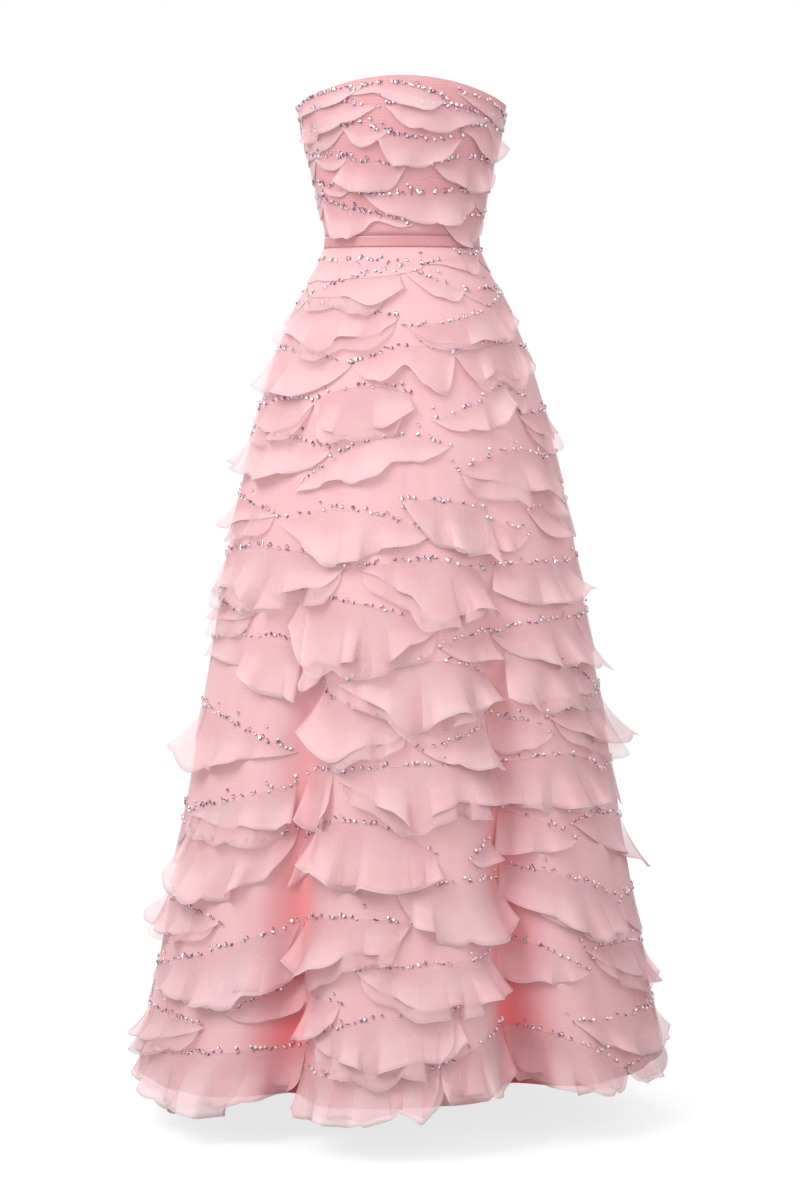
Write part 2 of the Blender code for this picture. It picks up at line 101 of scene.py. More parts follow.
@dataclass
class GownForm:
    """The smooth form that every piece of the gown is worked out from, in metres and degrees."""

    sections: tuple[Section, ...] = (
        Section(0.235, 0.150, 0.108, 0.110),
        Section(0.190, 0.1445, 0.112, 0.106),
        Section(0.147, 0.136, 0.110, 0.100),
        Section(0.105, 0.1265, 0.101, 0.094),
        Section(0.050, 0.115, 0.090, 0.088),
        Section(0.000, 0.107, 0.084, 0.087),
        Section(-0.080, 0.143, 0.112, 0.124),
        Section(-0.140, 0.170, 0.133, 0.154),
        Section(-0.210, 0.193, 0.154, 0.178),
        Section(-0.350, 0.227, 0.188, 0.216),
        Section(-0.620, 0.276, 0.244, 0.272),
        Section(-0.900, 0.324, 0.294, 0.326),
        Section(-1.220, 0.386, 0.352, 0.392),
    )
    valleys: tuple[Valley, ...] = (
        Valley(-30.0, 0.085, 6.5),
        Valley(30.0, 0.090, 6.0),
        Valley(112.5, 0.062, 9.0),
        Valley(157.5, 0.072, 8.5),
        Valley(202.5, 0.072, 8.5),
        Valley(247.5, 0.062, 9.0),
    )
    valley_start: float = -0.28
    valley_length: float = 0.90
    top_front: float = 0.222
    top_sides: float = 0.188
    top_back: float = 0.160
    hem_middle: float = -1.140
    hem_tilt: float = 0.012
    band_half: float = 0.0075

    def read(self, column: str, height: np.ndarray) -> np.ndarray:
        """Read a column of the sections on a smooth curve.

        Args:
            column: Name of the section's field.
            height: Heights to read it at.

        Returns:
            The column's value at each height.
        """
        heights = np.array([section.height for section in self.sections])[::-1]
        values = np.array([getattr(section, column) for section in self.sections])[::-1]
        slopes = np.gradient(values, heights)
        height = np.clip(height, heights[0], heights[-1])
        row = np.clip(np.searchsorted(heights, height) - 1, 0, len(heights) - 2)
        span = heights[row + 1] - heights[row]
        share = (height - heights[row]) / span
        back = share - 1.0
        return (
            values[row] * (1 + 2 * share) * back**2
            + slopes[row] * span * share * back**2
            + values[row + 1] * share**2 * (3 - 2 * share)
            + slopes[row + 1] * span * share**2 * back
        )

    def valley_depth(self, angle: np.ndarray, height: np.ndarray) -> np.ndarray:
        """How far the valleys draw the cloth in.

        Args:
            angle: Angles round the body.
            height: Heights above the waist.

        Returns:
            The depth at each place.
        """
        growth = np.clip((self.valley_start - height) / self.valley_length, 0.0, 1.0)
        depth = np.zeros_like(growth)
        for valley in self.valleys:
            away = (angle - valley.angle + 180.0) % 360.0 - 180.0
            depth = depth + valley.depth * np.exp(-0.5 * (away / valley.spread) ** 2)
        return depth * growth

    def valley_share(self, angle: np.ndarray, drop: np.ndarray) -> np.ndarray:
        """How deep in a valley a place lies, from 0 to 1; this sets the painted shade in the folds."""
        deepest = max(valley.depth for valley in self.valleys)
        return np.clip(self.valley_depth(angle, -drop * MM) / deepest, 0.0, 1.0)

    def place(
        self,
        angle: np.ndarray,
        drop: np.ndarray,
        offset: np.ndarray,
        hung_from: np.ndarray | None = None,
    ) -> np.ndarray:
        """Points at given places on the cloth, moved outward.

        Args:
            angle: Angles round the body.
            drop: Drops below the waist, in millimetres.
            offset: Level distances outside the body cloth, in millimetres.
            hung_from: Angles whose valley depth counts, where cloth bridges a valley.

        Returns:
            An array with a last axis of three.
        """
        angle, drop, offset = np.broadcast_arrays(
            np.asarray(angle, float), np.asarray(drop, float), np.asarray(offset, float)
        )
        height = -drop * MM
        turn = np.radians(angle)
        half_width = self.read("half_width", height)
        before = np.cos(turn) >= 0.0
        depth = np.where(before, self.read("front_depth", height), self.read("back_depth", height))
        across = np.sin(turn) / half_width
        ahead = -np.cos(turn) / depth
        size = np.hypot(across, ahead)
        sunk = angle if hung_from is None else np.broadcast_to(hung_from, angle.shape)
        out = offset * MM - self.valley_depth(sunk, height)
        return np.stack(
            [
                half_width * np.sin(turn) + across / size * out,
                -depth * np.cos(turn) + ahead / size * out,
                height,
            ],
            axis=-1,
        )

    def top_drop(self, angle: np.ndarray) -> np.ndarray:
        """Drop of the bodice's top edge, in millimetres, which is negative above the waist.

        Args:
            angle: Angles round the body.

        Returns:
            The drop at each angle.
        """
        turn = np.radians(angle)
        middle = np.where(np.cos(turn) >= 0.0, self.top_front, self.top_back)
        return -(self.top_sides + (middle - self.top_sides) * np.cos(turn) ** 2) / MM

    def hem_drop(self, angle: np.ndarray) -> np.ndarray:
        """Drop of the skirt's own hem, in millimetres."""
        return -(self.hem_middle + self.hem_tilt * np.sin(np.radians(angle))) / MM


# Meshes


@dataclass
class MeshStock:
    """Points, faces and cloth coordinates of one piece, gathered from many walls."""

    points: list[np.ndarray] = field(default_factory=list)
    faces: list[np.ndarray] = field(default_factory=list)
    cloth: list[np.ndarray] = field(default_factory=list)
    toward_edge: list[np.ndarray] = field(default_factory=list)
    shade: list[np.ndarray] = field(default_factory=list)
    valley: list[np.ndarray] = field(default_factory=list)
    skin: list[np.ndarray] = field(default_factory=list)
    count: int = 0
    area: float = 0.0

    def add_wall(
        self,
        grid: np.ndarray,
        thickness: float,
        cloth: np.ndarray,
        toward_edge: np.ndarray,
        valley: np.ndarray,
        shade: float = 0.0,
        sheer: float = 0.0,
    ) -> None:
        """Add a closed thin wall round a grid of points.

        Args:
            grid: Points, as columns along the cloth by rows down it.
            thickness: The wall's thickness in metres.
            cloth: Flat coordinates in metres for each point.
            toward_edge: 0 at the sewn line and 1 at the free edge, for each point.
            valley: How deep in a fold of the skirt each point lies, from 0 to 1, which sets the painted shade
                in the folds.
            shade: The piece's own small step in tone.
            sheer: How much of its cover the outer skin leaves out, from 0 to 1.
        """
        along = np.gradient(grid, axis=0)
        down = np.gradient(grid, axis=1)
        facing = np.cross(down, along)
        facing /= np.maximum(np.linalg.norm(facing, axis=-1, keepdims=True), 1e-12)
        outer = grid + facing * (thickness / 2)
        inner = grid - facing * (thickness / 2)
        columns, rows = grid.shape[:2]
        size = columns * rows
        number = self.count + np.arange(size).reshape(columns, rows)
        a, b = number[:-1, :-1], number[1:, :-1]
        c, d = number[1:, 1:], number[:-1, 1:]
        front = np.stack([a, d, c, b], -1).reshape(-1, 4)
        back = np.stack([a, b, c, d], -1).reshape(-1, 4) + size
        rim = np.concatenate(
            [number[:, 0], number[-1, 1:], number[-2::-1, -1], number[0, -2:0:-1]]
        )
        after = np.roll(rim, -1)
        edge = np.stack([rim, after, after + size, rim + size], -1)
        self.points.append(np.concatenate([outer.reshape(-1, 3), inner.reshape(-1, 3)]))
        self.faces.append(np.concatenate([front, back, edge]))
        self.cloth.append(np.concatenate([cloth.reshape(-1, 2)] * 2))
        self.toward_edge.append(np.concatenate([toward_edge.reshape(-1)] * 2))
        self.valley.append(np.concatenate([valley.reshape(-1)] * 2))
        self.shade.append(np.full(2 * size, shade))
        self.skin.append(np.repeat([sheer, 1.0], size))
        self.count += 2 * size
        cross = np.cross(grid[1:, :-1] - grid[:-1, :-1], grid[:-1, 1:] - grid[:-1, :-1])
        self.area += float(np.linalg.norm(cross, axis=-1).sum())

    def make(self, name: str, material: bpy.types.Material) -> bpy.types.Object:
        """Turn the stock into an object.

        Args:
            name: Name of the object.
            material: Its only material.

        Returns:
            The new object, at the origin.
        """
        points = np.concatenate(self.points)
        faces = np.concatenate(self.faces)
        mesh = bpy.data.meshes.new(name)
        mesh.vertices.add(len(points))
        mesh.vertices.foreach_set("co", points.astype(np.float32).ravel())
        mesh.loops.add(faces.size)
        mesh.loops.foreach_set("vertex_index", faces.astype(np.int32).ravel())
        mesh.polygons.add(len(faces))
        mesh.polygons.foreach_set("loop_start", np.arange(0, faces.size, 4, dtype=np.int32))
        mesh.polygons.foreach_set("use_smooth", np.ones(len(faces), bool))
        flat = mesh.uv_layers.new(name="cloth")
        cloth = np.concatenate(self.cloth)[faces.ravel()]
        flat.data.foreach_set("uv", cloth.astype(np.float32).ravel())
        for title, values in (
            ("toward_edge", self.toward_edge),
            ("shade", self.shade),
            ("valley", self.valley),
            ("skin", self.skin),
        ):
            attribute = mesh.attributes.new(title, "FLOAT", "POINT")
            attribute.data.foreach_set("value", np.concatenate(values).astype(np.float32))
        mesh.update()
        mesh.validate()
        mesh.materials.append(material)
        thing = bpy.data.objects.new(name, mesh)
        bpy.context.scene.collection.objects.link(thing)
        return thing


def smooth_row(values: tuple[float, ...], share: np.ndarray) -> np.ndarray:
    """A smooth curve through evenly spaced values, with no overshoot.

    Args:
        values: The values, from share 0 to share 1.
        share: Where to read it.

    Returns:
        The curve's values.
    """
    row = np.array(values, float)
    rise = np.diff(row)
    slope = np.zeros(len(row))
    before, after = rise[:-1], rise[1:]
    same = before * after > 0.0
    slope[1:-1][same] = 2 * before[same] * after[same] / (before[same] + after[same])
    slope[0] = 1.5 * rise[0] - 0.5 * slope[1]
    slope[-1] = 1.5 * rise[-1] - 0.5 * slope[-2]
    place = np.clip(share, 0.0, 1.0) * (len(row) - 1)
    step = np.minimum(place.astype(int), len(row) - 2)
    t = place - step
    return (
        row[step] * (1 + 2 * t) * (1 - t) ** 2
        + slope[step] * t * (1 - t) ** 2
        + row[step + 1] * t**2 * (3 - 2 * t)
        + slope[step + 1] * t**2 * (t - 1)
    )


def through_three(first: float, middle: float, last: float, share: np.ndarray) -> np.ndarray:
    """A smooth curve through three values.

    Args:
        first: Value at share 0.
        middle: Value at share 0.5.
        last: Value at share 1.
        share: Where to read it.

    Returns:
        The curve's values.
    """
    return (
        first * (1 - share) * (1 - 2 * share)
        + middle * 4 * share * (1 - share)
        + last * share * (2 * share - 1)
    )


# Materials


def opaque(colour: tuple[float, float, float]) -> tuple[float, float, float, float]:
    """A colour with full alpha."""
    return (*colour, 1.0)


def grey(level: float) -> tuple[float, float, float]:
    """A grey, for a ramp that gives a number."""
    return (level,) * 3


@dataclass
class NodeBoard:
    """A short way to lay out nodes in a tree."""

    tree: bpy.types.NodeTree

    def node(
        self, kind: str, fed: dict[int | str, object] | None = None, **settings: object
    ) -> bpy.types.Node:
        """Add a node.

        Args:
            kind: Blender's name of the node type.
            fed: What each input takes, by its number or name: another node's socket or a plain value.
            **settings: Properties to set on the node.

        Returns:
            The node.
        """
        made = self.tree.nodes.new(kind)
        for key, value in settings.items():
            setattr(made, key, value)
        for key, value in (fed or {}).items():
            self.feed(made.inputs[key], value)
        return made

    def feed(self, socket: bpy.types.NodeSocket, value: object) -> None:
        """Link a socket, or set its default where the value is plain.

        Args:
            socket: The input.
            value: Another node's socket, or a plain value.
        """
        if isinstance(value, bpy.types.NodeSocket):
            self.tree.links.new(value, socket)
        else:
            socket.default_value = value

    def math(self, operation: str, first: object, second: object = 0.0) -> bpy.types.NodeSocket:
        """A maths node's result."""
        return self.node("ShaderNodeMath", {0: first, 1: second}, operation=operation).outputs[0]


class NodeDesk(NodeBoard):
    """The nodes of one material, round its Principled shader."""

    def __init__(self, name: str) -> None:
        """Start a material.

        Args:
            name: The material's name.
        """
        self.material = bpy.data.materials.new(name)
        self.material.use_nodes = True
        super().__init__(self.material.node_tree)
        self.shader = self.tree.nodes["Principled BSDF"]

    def dress(self, **values: object) -> bpy.types.Material:
        """Set the shader's sockets.

        Args:
            **values: What each socket takes, by its name in lower case with underscores.

        Returns:
            The material.
        """
        for socket in self.shader.inputs:
            key = socket.name.lower().replace(" ", "_")
            if key in values:
                self.feed(socket, values[key])
        return self.material

    def attribute(self, name: str) -> bpy.types.NodeSocket:
        """A named attribute's value."""
        return self.node("ShaderNodeAttribute", attribute_name=name).outputs["Fac"]

    def flat(self) -> bpy.types.NodeSocket:
        """The cloth's flat coordinates, in metres."""
        return self.node("ShaderNodeUVMap", uv_map="cloth").outputs["UV"]

    def stretched(self, vector: object, scale: tuple[float, float, float]) -> bpy.types.NodeSocket:
        """Coordinates scaled apart along each axis."""
        return self.node("ShaderNodeMapping", {"Vector": vector, "Scale": scale}).outputs[0]

    def noise(self, vector: object, scale: float, detail: float = 2.0) -> bpy.types.NodeSocket:
        """A noise texture's value."""
        fed = {"Vector": vector, "Scale": scale, "Detail": detail}
        return self.node("ShaderNodeTexNoise", fed).outputs["Fac"]

    def bands(self, direction: str, **fed: object) -> bpy.types.NodeSocket:
        """A wave texture's bands across the cloth.

        Args:
            direction: The axis that the bands repeat along.
            **fed: Its other inputs, by their names with underscores.

        Returns:
            The texture's value.
        """
        inputs = {key.replace("_", " "): value for key, value in fed.items()} | {"Vector": self.flat()}
        made = self.node("ShaderNodeTexWave", inputs, wave_type="BANDS", bands_direction=direction)
        return made.outputs["Fac"]

    def ramp(self, value: object, *stops: tuple[float, tuple[float, ...]]) -> bpy.types.NodeSocket:
        """A colour ramp.

        Args:
            value: What is looked up.
            *stops: Each a position and a colour.

        Returns:
            The colour socket.
        """
        made = self.node("ShaderNodeValToRGB")
        self.feed(made.inputs[0], value)
        band = made.color_ramp
        while len(band.elements) < len(stops):
            band.elements.new(1.0)
        for element, (position, colour) in zip(band.elements, stops):
            element.position = position
            element.color = opaque(colour)
        return made.outputs[0]

    def growth(
        self, value: object, span: tuple[float, float], most: float = 1.0
    ) -> bpy.types.NodeSocket:
        """A number that grows from 0 to its most while the value crosses a span."""
        return self.ramp(value, (span[0], grey(0.0)), (span[1], grey(most)))

    def mix(self, share: object, first: object, second: object) -> bpy.types.NodeSocket:
        """Two colours mixed."""
        return self.node("ShaderNodeMix", {0: share, 6: first, 7: second}, data_type="RGBA").outputs[2]

    def bump(self, height: object, strength: float, distance: float) -> bpy.types.NodeSocket:
        """A bump node's normal."""
        fed = {"Strength": strength, "Distance": distance, "Height": height}
        return self.node("ShaderNodeBump", fed).outputs[0]


@dataclass(frozen=True)
class OrganzaFinish:
    """Sheer crisp organza with soft creases that run out from its sewn line.

    A wall's outer skin carries the cloth's cover, so that its two skins count as one cloth. Where a cover
    or the rolled rim starts is a share of the way from the sewn line to the free edge. The rim is paler,
    partly as the rolled edge's own tone and partly as a painted highlight, and the folds of the skirt carry
    painted shade. Scales are repeats in a metre.
    """

    name: str = "organza"
    light: tuple[float, float, float] = (0.995, 0.745, 0.765)
    deep: tuple[float, float, float] = (0.970, 0.600, 0.625)
    in_valley: tuple[float, float, float] = (0.930, 0.400, 0.420)
    rim: tuple[float, float, float] = (1.000, 0.835, 0.850)
    tone_span: tuple[float, float] = (0.30, 0.78)
    valley_shade_span: tuple[float, float] = (0.30, 1.0)
    valley_share: float = 0.8
    rim_span: tuple[float, float] = (0.950, 0.985)
    rim_and_highlight_share: float = 0.7
    sewn_cover: float = 0.18
    cover_from: float = 0.55
    cover: float = 0.62
    low_cover_from: float = 0.960
    low_cover: float = 0.68
    edge_cover: float = 0.80
    inner_cover: float = 0.16
    cloud_scale: float = 14.0
    crease_scale: float = 70.0
    crease_stretch: float = 0.16
    crease_depth: float = 0.0012
    weave_scale: float = 900.0
    weave_share: float = 0.10
    relief: float = 0.55
    roughness: float = 0.55
    sheen: float = 0.25
    sheen_tint: tuple[float, float, float] = (1.0, 0.86, 0.88)

    def make(self) -> bpy.types.Material:
        """Build the material.

        Returns:
            The material.
        """
        desk = NodeDesk(self.name)
        flat = desk.flat()
        toward = desk.attribute("toward_edge")
        cloud = desk.noise(flat, self.cloud_scale, detail=3.0)
        tone = desk.math("ADD", desk.attribute("shade"), cloud)
        lit = desk.growth(tone, self.tone_span)
        colour = desk.mix(lit, opaque(self.deep), opaque(self.light))
        # Painted shade: the deeper a point lies in a fold of the skirt, the more its colour turns to the deep
        # red valley shade.
        shaded = desk.growth(desk.attribute("valley"), self.valley_shade_span, self.valley_share)
        colour = desk.mix(shaded, colour, opaque(self.in_valley))
        # Partly painted highlight: the rolled free edge is paler in its own tone and is lightened further as
        # a painted highlight.
        at_rim_and_highlight = desk.growth(toward, self.rim_span, self.rim_and_highlight_share)
        colour = desk.mix(at_rim_and_highlight, colour, opaque(self.rim))
        cover = desk.ramp(
            toward,
            (0.0, grey(self.sewn_cover)),
            (self.cover_from, grey(self.cover)),
            (self.low_cover_from, grey(self.low_cover)),
            (self.rim_span[1], grey(self.edge_cover)),
        )
        cover = desk.mix(desk.attribute("skin"), cover, opaque(grey(self.inner_cover)))
        lengthened = desk.stretched(flat, (1.0, self.crease_stretch, 1.0))
        creases = desk.noise(lengthened, self.crease_scale, detail=3.0)
        weave = desk.noise(flat, self.weave_scale, detail=0.0)
        relief = desk.math("ADD", creases, desk.math("MULTIPLY", weave, self.weave_share))
        return desk.dress(
            base_color=colour,
            alpha=cover,
            normal=desk.bump(relief, self.relief, self.crease_depth),
            roughness=self.roughness,
            specular_ior_level=0.25,
            sheen_weight=self.sheen,
            sheen_roughness=0.4,
            sheen_tint=opaque(self.sheen_tint),
        )


@dataclass(frozen=True)
class TulleFinish:
    """Fine net over a lining: matte, with faint lines where the meshes cross.

    Scales are repeats in a metre. The lines, the clouds and the long streaks add up to the tone, and the
    folds of the skirt are darkened with painted shade.
    """

    name: str = "tulle"
    light: tuple[float, float, float] = (0.880, 0.560, 0.577)
    deep: tuple[float, float, float] = (0.775, 0.392, 0.410)
    in_valley: tuple[float, float, float] = (0.880, 0.150, 0.160)
    valley_shade_span: tuple[float, float] = (0.22, 0.95)
    ribbing: float = 0.18
    warp_scale: float = 75.0
    warp_waver: float = 14.0
    rib_scale: float = 110.0
    rib_waver: float = 1.5
    cloud_scale: float = 9.0
    cloud_share: float = 0.45
    streak_scale: float = 34.0
    streak_stretch: float = 0.04
    streak_share: float = 0.40
    relief: float = 0.25
    relief_depth: float = 0.0004
    roughness: float = 0.75
    sheen: float = 0.30
    sheen_tint: tuple[float, float, float] = (1.0, 0.85, 0.87)

    def make(self) -> bpy.types.Material:
        """Build the material.

        Returns:
            The material.
        """
        desk = NodeDesk(self.name)
        flat = desk.flat()
        warp = desk.bands(
            "Y", Scale=self.warp_scale, Distortion=self.warp_waver, Detail=1.0, Detail_Scale=0.35
        )
        ribs = desk.bands("X", Scale=self.rib_scale, Distortion=self.rib_waver)
        cloud = desk.noise(flat, self.cloud_scale, detail=4.0)
        lines = desk.math("MULTIPLY", desk.math("ADD", warp, ribs), self.ribbing)
        lengthened = desk.stretched(flat, (1.0, self.streak_stretch, 1.0))
        streaks = desk.noise(lengthened, self.streak_scale, detail=2.0)
        tone = desk.math("ADD", desk.math("MULTIPLY", cloud, self.cloud_share), lines)
        tone = desk.math("ADD", tone, desk.math("MULTIPLY", streaks, self.streak_share))
        colour = desk.mix(tone, opaque(self.deep), opaque(self.light))
        # Painted shade: the deeper a point lies in a fold of the skirt, the more its colour turns to the deep
        # red valley shade.
        shaded = desk.growth(desk.attribute("valley"), self.valley_shade_span)
        colour = desk.mix(shaded, colour, opaque(self.in_valley))
        return desk.dress(
            base_color=colour,
            normal=desk.bump(lines, self.relief, self.relief_depth),
            roughness=self.roughness,
            specular_ior_level=0.2,
            sheen_weight=self.sheen,
            sheen_roughness=0.5,
            sheen_tint=opaque(self.sheen_tint),
        )


BODICE_TULLE = TulleFinish(
    "bodice_tulle", light=(0.800, 0.420, 0.435), deep=(0.635, 0.262, 0.274), ribbing=0.26
)


@dataclass(frozen=True)
class SatinFinish:
    """Soft satin with a low lustre. Scales are repeats in a metre."""

    name: str = "satin"
    light: tuple[float, float, float] = (0.700, 0.335, 0.352)
    deep: tuple[float, float, float] = (0.600, 0.245, 0.262)
    cloud_scale: float = 12.0
    cloud_squeeze: float = 5.0
    thread_scale: float = 2400.0
    thread_stretch: float = 0.05
    thread_depth: float = 0.0002
    relief: float = 0.15
    roughness: float = 0.38
    sheen: float = 0.15

    def make(self) -> bpy.types.Material:
        """Build the material.

        Returns:
            The material.
        """
        desk = NodeDesk(self.name)
        flat = desk.flat()
        squeezed = desk.stretched(flat, (1.0, self.cloud_squeeze, 1.0))
        cloud = desk.noise(squeezed, self.cloud_scale, detail=3.0)
        colour = desk.mix(cloud, opaque(self.deep), opaque(self.light))
        lengthened = desk.stretched(flat, (self.thread_stretch, 1.0, 1.0))
        threads = desk.noise(lengthened, self.thread_scale, detail=0.0)
        return desk.dress(
            base_color=colour,
            normal=desk.bump(threads, self.relief, self.thread_depth),
            roughness=self.roughness,
            sheen_weight=self.sheen,
        )


@dataclass(frozen=True)
class BeadFinish:
    """Foil-backed glass: each bead has its hue on its tinted facets, with a painted dark reflection on some
    facets and a painted glint on others.

    A facet's own value tells which it is: painted dark reflection below tinted_from, and painted glint above
    the higher threshold.
    """

    name: str
    hues: tuple[tuple[float, float, float], ...]
    dark_reflection: tuple[float, float, float] = (0.120, 0.070, 0.095)
    bright_glint: tuple[float, float, float] = (1.0, 0.985, 1.0)
    tinted_from: float = 0.30
    glint_from: float = 0.70
    roughness: float = 0.16
    metal: float = 0.65
    gloss: float = 0.5

    def make(self) -> bpy.types.Material:
        """Build the material.

        Returns:
            The material.
        """
        desk = NodeDesk(self.name)
        steps = [((i + 0.5) / len(self.hues), hue) for i, hue in enumerate(self.hues)]
        hue = desk.ramp(desk.attribute("tint"), *steps)
        facet = desk.attribute("facet")
        # Painted reflection: facets below the first threshold are painted dark, and those above the second
        # are painted as a white glint.
        tinted = desk.math("GREATER_THAN", facet, self.tinted_from)
        shining = desk.math("GREATER_THAN", facet, self.glint_from)
        colour = desk.mix(tinted, opaque(self.dark_reflection), hue)
        colour = desk.mix(shining, colour, opaque(self.bright_glint))
        return desk.dress(
            base_color=colour,
            metallic=self.metal,
            roughness=self.roughness,
            coat_weight=self.gloss,
            coat_roughness=0.05,
        )


CRYSTAL = BeadFinish(
    "crystal",
    (
        (0.76, 0.36, 0.66),
        (0.94, 0.52, 0.70),
        (0.98, 0.95, 0.98),
        (0.70, 0.84, 0.72),
        (0.52, 0.18, 0.42),
        (0.98, 0.80, 0.88),
        (0.96, 0.92, 0.94),
    ),
    metal=0.35,
)
SILVER_LINED = BeadFinish(
    "silver_lined",
    (
        (0.90, 0.88, 0.90),
        (0.70, 0.74, 0.68),
        (0.92, 0.82, 0.86),
    ),
    dark_reflection=(0.22, 0.19, 0.20),
)


# Ruffles


@dataclass(frozen=True)
class Petal:
    """One ruffle piece, in degrees round the body and millimetres down it.

    The sewn line runs from the left end through the middle to the right end. The falls are the lengths
    of the free cloth at even steps from the left end to the right end. The flares are how far the free
    corners swing past the sewn line's ends, in degrees. Low is the share where the middle fall lies, and
    loose is how much of the usual stand and flutes the piece has.
    """

    left: float
    left_drop: float
    middle_drop: float
    right: float
    right_drop: float
    falls: tuple[float, ...]
    left_flare: float = 0.0
    right_flare: float = 0.0
    low: float = 0.5
    loose: float = 1.0

    def sewn_angle(self, share: np.ndarray) -> np.ndarray:
        """Angle of the sewn line along the piece."""
        return self.left + (self.right - self.left) * share

    def sewn_drop(self, share: np.ndarray) -> np.ndarray:
        """Drop of the sewn line along the piece."""
        return through_three(self.left_drop, self.middle_drop, self.right_drop, share)

    def fall(self, share: np.ndarray) -> np.ndarray:
        """Length of the free cloth along the piece."""
        return smooth_row(self.falls, share ** (math.log(0.5) / math.log(self.low)))

    def mirrored(self, height_scales: list[float], fall_scale: float, shift: float) -> "Petal":
        """The like piece on the back.

        Args:
            height_scales: Scales of this piece's left, middle and right drops.
            fall_scale: Scale of its falls.
            shift: A small turn round the body, in degrees.

        Returns:
            The piece of the back.
        """
        return replace(
            self,
            left=180.0 - self.right + shift,
            left_drop=self.right_drop * height_scales[2],
            middle_drop=self.middle_drop * height_scales[1],
            right=180.0 - self.left + shift,
            right_drop=self.left_drop * height_scales[0],
            falls=tuple(fall * fall_scale for fall in reversed(self.falls)),
            left_flare=self.right_flare,
            right_flare=self.left_flare,
            low=1.0 - self.low,
        )


@dataclass(frozen=True)
class Tier:
    """A row of petals that shares a tape."""

    name: str
    petals: tuple[Petal, ...]


BODICE_TIERS: tuple[Tier, ...] = (
    Tier("bodice_ruffle_1", (
        Petal(-84, -181, -198, -21, -209, (11, 20, 20, 5)),
        Petal(-29, -200, -211, 24, -188, (10, 11, 28, 28, 6)),
        Petal(31, -199, -188, 80, -171, (2, 16, 24, 12), 0, 3),
    )),
    Tier("bodice_ruffle_2", (
        Petal(-80, -164, -183, -14, -180, (26, 40, 36, 24, 5)),
        Petal(-9, -180, -180, 57, -167, (3, 32, 34, 18, 8)),
    )),
    Tier("bodice_ruffle_3", (
        Petal(-37, -155, -153, -7, -147, (3, 22, 28, 16, 4)),
        Petal(-17, -151, -138, 37, -137, (6, 44, 38, 30, 4)),
        Petal(36, -149, -157, 72, -153, (4, 16, 44, 48, 28), 0, 9),
    )),
    Tier("bodice_ruffle_4", (
        Petal(-68, -117, -115, -36, -113, (8, 16, 18, 12)),
        Petal(-37, -113, -105, 3, -101, (34, 42, 41, 32, 6), -9, 0),
        Petal(18, -103, -113, 66, -111, (3, 28, 42, 46, 24), 0, 8),
    )),
    Tier("bodice_ruffle_5", (
        Petal(-66, -79, -74, -36, -69, (3, 12, 12, 3)),
        Petal(-27, -63, -65, 54, -68, (4, 29, 40, 47, 20), 0, 3),
    )),
    Tier("bodice_ruffle_6", (
        Petal(-68, -59, -41, 9, -23, (20, 46, 46, 26, 8, 10, 3)),
        Petal(30, -23, -33, 80, -37, (3, 28, 42, 30, 10), 0, 4),
    )),
)

